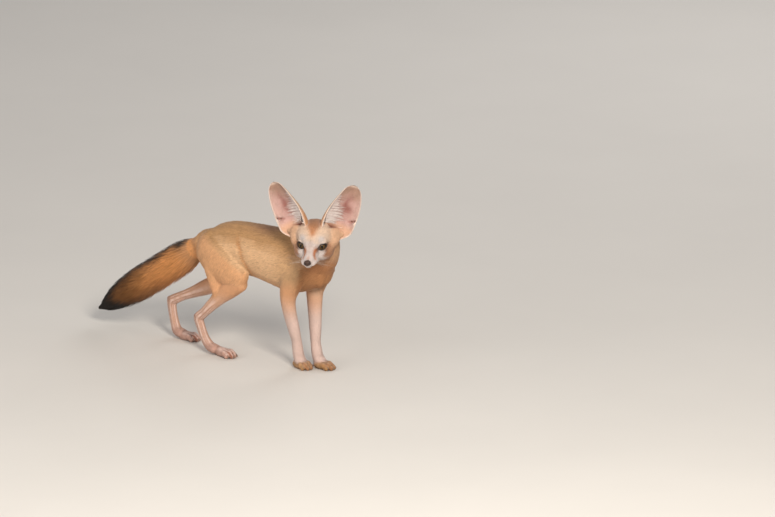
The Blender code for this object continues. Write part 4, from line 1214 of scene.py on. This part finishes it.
def growComb(name, side, draw):
    # the long white hair that lies across the cup from near the inner margin, gathered in rows
    settings = combSettings
    count = settings["rows"] * settings["perRow"]
    line = np.repeat(np.arange(settings["rows"]), settings["perRow"]) / (settings["rows"] - 1)
    span = settings["to"] - settings["from"]
    aim = settings["from"] + span * line + draw.normal(0, 0.4, count) * np.where(line < 0.12, 4, 1)
    height = aim + draw.uniform(-0.62, 0.62, count) * span / settings["rows"]
    row = earRowAt(height)
    u = -0.985 + 0.42 * ease(52, 14, height) + np.abs(draw.normal(0, 0.2, count))
    long = np.interp(line, np.linspace(0, 1, 5), settings["length"]) * draw.uniform(0.4, 1.05, count)
    long = long * (1 - 0.35 * (u + 0.985)) * np.where(draw.random(count) < 1.4 - line, 1, 0.35)
    front = unit(earAxes(side)[1] @ headRotation.T)
    rise = long * (0.2 + draw.normal(0, 0.03, count))
    paths = []
    for t in np.arange(4) / 3:
        heightHere = height + (aim - height) * t**0.7 + rise * t
        across = u + long * t / (np.interp(heightHere, earTable[:, 0], earTable[:, 1]) * 1.3)
        place, normal, _ = earSheet(side, earRowAt(heightHere), across, np.full(count, -1.0))
        paths.append(place + normal * (1.3 * math.sin(t * 2.5) + 0.5 * t - 0.25))
    paths = np.stack(paths, axis=1)
    # painted shade and light: the comb is darker on the left ear and lighter on the right one, as the lamps
    # fall
    tint = mixed["earHair"] * (1.0 - 0.12 * side + draw.normal(0, 0.06, (count, 1)))
    tint = over(tint, "earPink", np.clip(0.1 + 0.45 * draw.random(count) + 0.5 * (line - 0.75), 0, 1))
    place = onMap((u + 1) / 4 + 0.5, row / len(earTable), 0.02)
    widths = settings["width"] * draw.uniform(0.6, 1.3, count)
    return makeTufts(f"{name}_comb", paths, np.tile(front, (count, 1)), widths, tint, place, (1.0, 1.0), 0.9)


# Eyes
def ballGrid(around, rings):
    # a ball's angles from its front pole, its directions and its faces
    polar = np.linspace(0, math.pi, rings)[1:-1]
    turn = np.linspace(0, 2 * math.pi, around, endpoint=False)
    theta, phi = (grid.ravel() for grid in np.meshgrid(polar, turn, indexing="ij"))
    faces = tubeFaces(rings - 2, around)[:-2]
    first, last = len(theta), len(theta) + 1
    base = (rings - 3) * around
    faces += [(first, (k + 1) % around, k) for k in range(around)]
    faces += [(last, base + k, base + (k + 1) % around) for k in range(around)]
    theta, phi = np.append(theta, (0, math.pi)), np.append(phi, (0, 0))
    ways = np.stack([np.cos(theta), np.sin(theta) * np.cos(phi), np.sin(theta) * np.sin(phi)], axis=1)
    return theta, ways, faces


def makeEye(name, side):
    centre, axes = eyeFrame(side)
    theta, flat, faces = ballGrid(64, 60)
    bulge = 0.55 * np.exp(-((theta / 0.62) ** 2) * 1.2)  # the cornea
    radius = eyeSettings["radius"] + bulge
    made = newMesh(name, (flat * radius[:, None]) @ axes.T + centre, faces)
    setNumber(made, "across", flat[:, 1])
    setNumber(made, "rise", flat[:, 2])
    return made


def lidLine(count=72):
    # the rim between the lids, in the eye's frame, from the outer corner round
    length, height = eyeSettings["opening"]
    turn = np.linspace(0, 2 * math.pi, count, endpoint=False)
    y = np.cos(turn) * length
    z = np.sign(np.sin(turn)) * (1 - (y / length) ** 2) ** 0.75 * height
    x = np.sqrt(eyeSettings["lidRadius"] ** 2 - y**2 - z**2)
    return np.stack([x, y, z], axis=1)


lidSettings = {"thick": 0.76, "corner": 0.7, "drop": 0.4}


def makeLids(name, side):
    # the bare dark rim of both lids, drawn out at the inner corner
    centre, axes = eyeFrame(side)
    line = lidLine()
    inner = -side
    pull = ease(0.7, 1.0, line[:, 1] * inner / eyeSettings["opening"][0])
    line[:, 1] += inner * pull * lidSettings["corner"]
    line[:, 2] -= pull * lidSettings["drop"]
    line[:, 0] = np.sqrt(np.maximum(eyeSettings["lidRadius"] ** 2 - line[:, 1] ** 2 - line[:, 2] ** 2, 1))
    ahead = unit(np.roll(line, -1, axis=0) - np.roll(line, 1, axis=0))
    out = unit(line)
    across = np.cross(ahead, out)
    thick = lidSettings["thick"] * (0.85 + 0.35 * (line[:, 2] > 0)) * (1 - 0.3 * pull)
    count, sides = len(line), 10
    turn = np.linspace(0, 2 * math.pi, sides, endpoint=False)
    rings = (line[:, None] + across[:, None] * (np.cos(turn) * thick[:, None] * 0.8)[..., None]
             + out[:, None] * (np.sin(turn) * thick[:, None] - 0.35)[..., None])
    faces = [(i * sides + k, i * sides + (k + 1) % sides, (i + 1) % count * sides + (k + 1) % sides,
              (i + 1) % count * sides + k) for i in range(count) for k in range(sides)]
    return newMesh(name, rings.reshape(-1, 3) @ axes.T + centre, faces)


# Nose leather
noseSettings = {"place": np.array((41.5, 0, -15.4)), "size": np.array((4.6, 5.6, 4.5))}


def makeNose(name):
    _, flat, faces = ballGrid(96, 72)
    points = flat * noseSettings["size"]
    x, y, z = points.T
    side = np.abs(y)
    # a comma-shaped nostril on each side, open to the outside below
    u, v = side - 2.9, z + 0.5
    hole = bell(u / 1.35, v / 0.95)
    slit = bell((side - 4.3) / 1.3, (z + 1.1) / 0.6)
    front = ease(0.2, 1.8, x)
    depth = np.maximum(hole * 2.3, slit * 1.3) * front
    groove = bell(y / 0.42) * ease(1.2, -0.6, z) * front * 0.55
    wing = bell((side - 3.6) / 1.1, (z - 0.9) / 0.8) * 0.45 * front
    grain = cloud(points, 0.9) * 0.05
    points = points + flat * (wing - depth - groove + grain)[:, None]
    points[:, 2] = np.where(points[:, 2] > 2.6, 2.6 + (points[:, 2] - 2.6) * 0.6, points[:, 2])
    made = newMesh(name, fromHead(points + noseSettings["place"]), faces)
    # how far each nostril dent sinks, kept to paint shade into the holes
    setNumber(made, "deep", depth / 2.3)
    return made


def makeClaws(name):
    pieces = []
    for paw, (x, y, heading, reach) in paws.items():
        for side, share in zip(toeSettings["sides"], toeSettings["reach"]):
            tip = reach * share
            long = 1.0 if "hind" in paw else 0.35
            rows = [(tip - 3.5, side * 1.04, 6.9, 0.95, 1.3), (tip - 0.5, side * 1.08, 6.6, 0.85, 1.15),
                    (tip + 1.9 * long, side * 1.11, 5.7, 0.6, 0.8),
                    (tip + 3.4 * long, side * 1.14, 4.5, 0.22, 0.3)]
            points, faces = loft(rows, sides=12, steps=4)
            pieces.append((placedPaw(paw, points), faces))
    return newMesh(name, *gather(pieces))


whiskerSettings = {"seed": 5, "perSide": 9, "thick": 0.11, "length": (18.0, 34.0)}


def makeWhiskers(name):
    draw = np.random.default_rng(whiskerSettings["seed"])
    pieces = []
    for side in (1, -1):
        for index in range(whiskerSettings["perSide"]):
            line, place = divmod(index, 4)
            root = np.array((21.0 + place * 3.4, side * (10.4 - place * 1.3), -16.6 - line * 1.7))
            length = draw.uniform(*whiskerSettings["length"])
            way = unit(np.array((-0.35 + 0.12 * place, side * 1.0, -0.25 + draw.uniform(-0.12, 0.2))))
            droop = draw.uniform(0.06, 0.16)
            rows = []
            for t in (-0.06, 0.2, 0.5, 0.8, 1.0):
                thick = whiskerSettings["thick"] * (1 - 0.85 * t)
                bend = np.array((0.25 * t * t * length, 0, droop * t * t * length))
                rows.append((*(root + way * length * t - bend), thick, thick))
            points, faces = loft(rows, sides=5, steps=2, roundEnds=False, side=(1, 0, 0))
            pieces.append((fromHead(points), faces))
    return newMesh(name, *gather(pieces))


# Shader sums
class Value:
    # a socket of a material's nodes that can be written in sums
    def __init__(self, finish, socket):
        self.finish = finish
        self.socket = socket

    def math(self, operation, *others):
        return self.finish.node("ShaderNodeMath", {"operation": operation}, dict(enumerate((self, *others))))

    def __add__(self, other):
        return self.math("ADD", other)

    def __radd__(self, other):
        return self.math("ADD", other)

    def __sub__(self, other):
        return self.math("SUBTRACT", other)

    def __rsub__(self, other):
        return self.finish.node("ShaderNodeMath", {"operation": "SUBTRACT"}, {0: other, 1: self})

    def __mul__(self, other):
        return self.math("MULTIPLY", other)

    def __rmul__(self, other):
        return self.math("MULTIPLY", other)

    def __pow__(self, other):
        return self.math("POWER", other)


class Finish:
    # one material: a Principled shader with its steady values, and the nodes that feed it
    def __init__(self, name, **steady):
        self.material = bpy.data.materials.new(name)
        self.material.use_nodes = True
        self.nodes = self.material.node_tree.nodes
        self.links = self.material.node_tree.links
        self.shader = self.nodes["Principled BSDF"]
        for key, value in steady.items():
            self.shader.inputs[key.replace("_", " ")].default_value = value

    def node(self, kind, settings, values, output=0):
        made = self.nodes.new(kind)
        for key, value in settings.items():
            if key == "stops":
                self.setStops(made.color_ramp, value)
            else:
                setattr(made, key, value)
        for key, value in values.items():
            self.feed(made.inputs[key], value)
        return Value(self, made.outputs[output])

    def setStops(self, ramp, stops):
        while len(ramp.elements) < len(stops):
            ramp.elements.new(1.0)
        for element, (place, tone) in zip(ramp.elements, stops):
            element.position = place
            element.color = (*tone, 1) if np.size(tone) == 3 else (tone, tone, tone, 1)

    def feed(self, socket, value):
        if isinstance(value, Value):
            self.links.new(value.socket, socket)
        else:
            socket.default_value = value

    def attribute(self, name, output="Fac"):
        return self.node("ShaderNodeAttribute", {"attribute_name": name}, {}, output)

    def place(self, scale=(1, 1, 1)):
        where = self.node("ShaderNodeTexCoord", {}, {}, "Object")
        return self.node("ShaderNodeVectorMath", {"operation": "MULTIPLY"}, {0: where, 1: scale})

    def noise(self, scale, detail=3.0, stretch=(1, 1, 1), roughness=0.55):
        values = {"Vector": self.place(stretch), "Scale": scale, "Detail": detail, "Roughness": roughness}
        return self.node("ShaderNodeTexNoise", {}, values, "Fac")

    def ramp(self, value, stops):
        return self.node("ShaderNodeValToRGB", {"stops": stops}, {"Fac": value}, "Color")

    def mixColours(self, share, first, second, how="MIX"):
        # sockets 6 and 7 are the colours of a Mix node, and output 2 is its colour
        tones = {key: tone if isinstance(tone, Value) else (*tone, 1)
                 for key, tone in ((6, first), (7, second))}
        return self.node("ShaderNodeMix", {"data_type": "RGBA", "blend_type": how}, {0: share, **tones}, 2)

    def bump(self, height, strength, distance):
        values = {"Height": height, "Strength": strength, "Distance": distance}
        return self.node("ShaderNodeBump", {}, values, "Normal")

    def put(self, **feeds):
        for key, value in feeds.items():
            self.feed(self.shader.inputs[key.replace("_", " ")], value)
        return self.material


def furFinish(name, rough, fine):
    finish = Finish(name, Specular_IOR_Level=0.22, Sheen_Weight=0.12, Sheen_Roughness=0.5)
    tint = finish.attribute("tint", "Color")
    mottle = finish.noise(fine, 3.0)
    tone = finish.mixColours(1.0, tint, finish.ramp(mottle, [(0.3, 0.9), (0.7, 1.0)]), "MULTIPLY")
    return finish.put(Base_Color=tone, Roughness=rough + 0.15 * mottle)


def skinFinish(name):
    # short flat fur: fine streaks in tone and height over the markings
    finish = Finish(name, Specular_IOR_Level=0.2, Sheen_Weight=0.1, Sheen_Roughness=0.5)
    tint = finish.attribute("tint", "Color")
    hair = finish.noise(900.0, 4.0, (1, 1, 0.35))
    wide = finish.noise(160.0, 3.0)
    streaks = finish.ramp(hair * 0.6 + wide * 0.4, [(0.32, 0.84), (0.62, 1.0)])
    tone = finish.mixColours(1.0, tint, streaks, "MULTIPLY")
    height = finish.bump(hair * 0.7 + wide * 0.3, 0.5, 0.0006)
    return finish.put(Base_Color=tone, Roughness=0.7 + 0.2 * hair, Normal=height)


def earFinish(name):
    # thin pink skin with fine veins under short down
    finish = Finish(name, Specular_IOR_Level=0.25, Sheen_Weight=0.15, Sheen_Roughness=0.5)
    tint = finish.attribute("tint", "Color")
    down = finish.noise(1100.0, 3.0)
    warp = finish.noise(70.0, 4.0, (1, 1, 0.5))
    vein = finish.ramp(warp, [(0.46, 1.0), (0.5, 0.86), (0.54, 1.0)])
    tone = finish.mixColours(1.0, tint, vein, "MULTIPLY")
    tone = finish.mixColours(1.0, tone, finish.ramp(down, [(0.3, 0.86), (0.65, 1.0)]), "MULTIPLY")
    height = finish.bump(down + warp * 0.5, 0.35, 0.0004)
    return finish.put(Base_Color=tone, Roughness=0.6 + 0.2 * down, Normal=height)


def eyeFinish(name):
    finish = Finish(name, Specular_IOR_Level=0.15, Coat_Roughness=0.03, Coat_IOR=1.22)
    across, rise = finish.attribute("across"), finish.attribute("rise")
    ring = (across * across + rise * rise) ** 0.5
    slot = (across * across * 15.0 + rise * rise * 6.0) ** 0.5
    spoke = finish.node("ShaderNodeMath", {"operation": "ARCTAN2"}, {0: rise, 1: across})
    where = finish.node("ShaderNodeCombineXYZ", {}, {"X": spoke * 7.0, "Y": ring * 3.0})
    strands = finish.node("ShaderNodeTexNoise", {"noise_dimensions": "2D"},
                          {"Vector": where, "Scale": 3.0, "Detail": 4.0}, "Fac")
    stops = [(0.0, colour(112, 84, 44)), (0.35, colour(98, 72, 37)), (0.62, colour(68, 47, 26)),
             (0.78, colour(22, 15, 11)), (1.0, colour(12, 9, 7))]
    iris = finish.ramp(ring, stops)
    iris = finish.mixColours(1.0, iris, finish.ramp(strands, [(0.25, 0.55), (0.7, 1.0)]), "MULTIPLY")
    pupil = finish.ramp(slot, [(0.72, 1.0), (0.8, 0.0)])
    tone = finish.mixColours(pupil, iris, colour(9, 7, 6))
    return finish.put(Base_Color=tone, Roughness=0.16 + 0.1 * strands, Coat_Weight=1.0)


def noseFinish(name):
    finish = Finish(name, Specular_IOR_Level=0.45, Coat_Roughness=0.25)
    cells = finish.node("ShaderNodeTexVoronoi", {}, {"Vector": finish.place(), "Scale": 1500.0}, "Distance")
    wide = finish.noise(220.0)
    deep = finish.attribute("deep")
    tone = finish.ramp(wide, [(0.3, colour(50, 33, 25)), (0.7, colour(76, 51, 39))])
    # painted shade: near black where the nostril dents sink furthest
    tone = finish.mixColours(finish.ramp(deep, [(0.15, 0.0), (0.6, 1.0)]), tone, colour(14, 9, 8))
    return finish.put(Base_Color=tone, Roughness=0.45 + 0.2 * cells, Coat_Weight=0.12,
                      Normal=finish.bump(cells, 0.5, 0.0003))


def plainFinish(name, dark, light, scale, rough, stretch=(1, 1, 1), **steady):
    # horn, bare skin and whiskers: two tones with a fine grain
    finish = Finish(name, **steady)
    grain = finish.noise(scale, 4.0, stretch)
    tone = finish.ramp(grain, [(0.3, dark), (0.7, light)])
    return finish.put(Base_Color=tone, Roughness=rough + 0.15 * grain, Normal=finish.bump(grain, 0.2, 0.0002))


# Floor, lights and camera
stageSettings = {"floor": 14.0, "floorTone": (214, 209, 202), "lightsAim": (0, 0, 0.13),
                 "world": (0.98, 0.98, 1.0, 1), "worldStrength": 0.45}
cameraSettings = {"azimuth": 38.0, "elevation": 15.0, "distance": 26.0, "mmPerPixel": 1.6, "imageWidth": 775,
                  "aim": (129.1, 98.75),  # the picture's middle, in pixels right of and above the origin
                  "sensor": 36.0}


def viewAxes():
    a, e = math.radians(cameraSettings["azimuth"]), math.radians(cameraSettings["elevation"])
    right = np.array((math.cos(a), math.sin(a), 0))
    back = np.array((math.sin(a) * math.cos(e), -math.cos(a) * math.cos(e), math.sin(e)))
    return right, np.cross(back, right), back


def makeFloor():
    size = stageSettings["floor"] / 2
    corners = [(x * size, y * size, 0) for x, y in ((-1, -1), (1, -1), (1, 1), (-1, 1))]
    data = bpy.data.meshes.new("floor")
    data.from_pydata(corners, [], [(0, 1, 2, 3)])
    made = addObject("floor", data)
    tone = colour(*stageSettings["floorTone"])
    finish = plainFinish("floorPaint", tone * 0.97, tone, 3.0, 0.75, Specular_IOR_Level=0.2)
    made.data.materials.append(finish)


lightSettings = {
    # name: direction from the fox in the camera's right, up and back, distance, size, power, colour
    "key": ((0.26, 0.6, 0.95), 3.0, 0.8, 69.0, (1.0, 0.94, 0.86)),
    "fill": ((-0.85, 0.4, 0.6), 3.2, 2.6, 31.0, (1.0, 0.97, 0.94)),
    "rim": ((0.5, 0.6, -0.9), 3.0, 1.6, 16.0, (1.0, 1.0, 1.0)),
}


def makeLights():
    right, _, back = viewAxes()
    target = Vector(stageSettings["lightsAim"])
    for name, (way, distance, size, power, tone) in lightSettings.items():
        data = bpy.data.lights.new(name, "AREA")
        data.shape = "DISK"
        data.size = size
        data.energy = power
        data.color = tone
        made = addObject(name, data)
        flat = unit(np.array((back[0], back[1], 0)))
        out = unit(right * way[0] + np.array((0, 0, 1.0)) * way[1] + flat * way[2])
        made.location = target + Vector(out * distance)
        made.rotation_euler = (target - made.location).to_track_quat("-Z", "Y").to_euler()
    world = bpy.data.worlds.new("studio")
    world.use_nodes = True
    inputs = world.node_tree.nodes["Background"].inputs
    inputs["Color"].default_value = stageSettings["world"]
    inputs["Strength"].default_value = stageSettings["worldStrength"]
    bpy.context.scene.world = world
    bpy.context.scene.view_settings.view_transform = "Standard"


def makeCamera():
    right, up, back = viewAxes()
    perPixel, distance = cameraSettings["mmPerPixel"] * mm, cameraSettings["distance"]
    data = bpy.data.cameras.new("camera")
    data.sensor_width = cameraSettings["sensor"]
    data.lens = data.sensor_width * distance / (cameraSettings["imageWidth"] * perPixel)
    data.clip_end = 60
    made = addObject("camera", data)
    x, y = cameraSettings["aim"]
    aim = Vector(right * x * perPixel + up * y * perPixel + shift * mm)
    made.location = aim + Vector(back * distance)
    made.rotation_euler = Vector(-back).to_track_quat("-Z", "Y").to_euler()
    bpy.context.scene.camera = made


# Assembly
def finishPiece(made, material, slotName, *nodes):
    print(made.name, len(made.data.polygons))
    made.data.materials.clear()
    made.data.materials.append(material)
    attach(made, "root")
    if nodes:
        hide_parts(*nodes)


fleshNodes = ("torso", "neck", "head", "lower_jaw", "left_thigh", "right_thigh", "left_shank",
              "right_shank", "left_foreleg", "right_foreleg", "left_forefoot", "right_forefoot",
              "left_hind_foot", "right_hind_foot", "tail")


def build():
    skin = makeSkin()
    print("skin made")
    reading = readSkin(skin)
    setTint(skin, reading["tints"])
    print("skin read")
    finishPiece(skin, skinFinish("shortFur"), "fur_coat", *fleshNodes)
    coat = furFinish("coatFur", 0.62, 260.0)
    for seed, name in enumerate(coatPieces):
        finishPiece(growCoat(name, reading, 100 + seed), coat, coatSlots[coatPieces[name][0]])
    tailFur = furFinish("tailFur", 0.6, 200.0)
    for made in growTail():
        finishPiece(made, tailFur, "fur_tail")
    earSkin, earFur = earFinish("earSkin"), furFinish("earFur", 0.65, 300.0)
    eye = eyeFinish("eyeball")
    rims = plainFinish("lidSkin", colour(20, 14, 12), colour(44, 32, 27), 900.0, 0.4, Specular_IOR_Level=0.5)
    for name, side in (("left", 1), ("right", -1)):
        finishPiece(makeEar(f"{name}_ear_skin", side), earSkin, "fur_ear", f"{name}_ear")
        for made in growEar(f"{name}_ear", side):
            finishPiece(made, earFur, "fur_ear")
        finishPiece(makeEye(f"{name}_eyeball", side), eye, "eye", f"{name}_eye")
        finishPiece(makeLids(f"{name}_lid_rims", side), rims, "nose_leather")
    print("ears and eyes")
    finishPiece(makeNose("nose_leather"), noseFinish("noseLeather"), "nose_leather", "nose")
    horn = plainFinish("clawHorn", colour(104, 78, 64), colour(150, 122, 104), 500.0, 0.35, (1, 1, 3),
                       Specular_IOR_Level=0.5)
    finishPiece(makeClaws("claws"), horn, "nose_leather")
    pale = plainFinish("whiskerHair", colour(150, 130, 115), colour(225, 215, 205), 300.0, 0.4)
    finishPiece(makeWhiskers("whiskers"), pale, "fur_face")


build()
makeFloor()
makeLights()
makeCamera()
print("done")
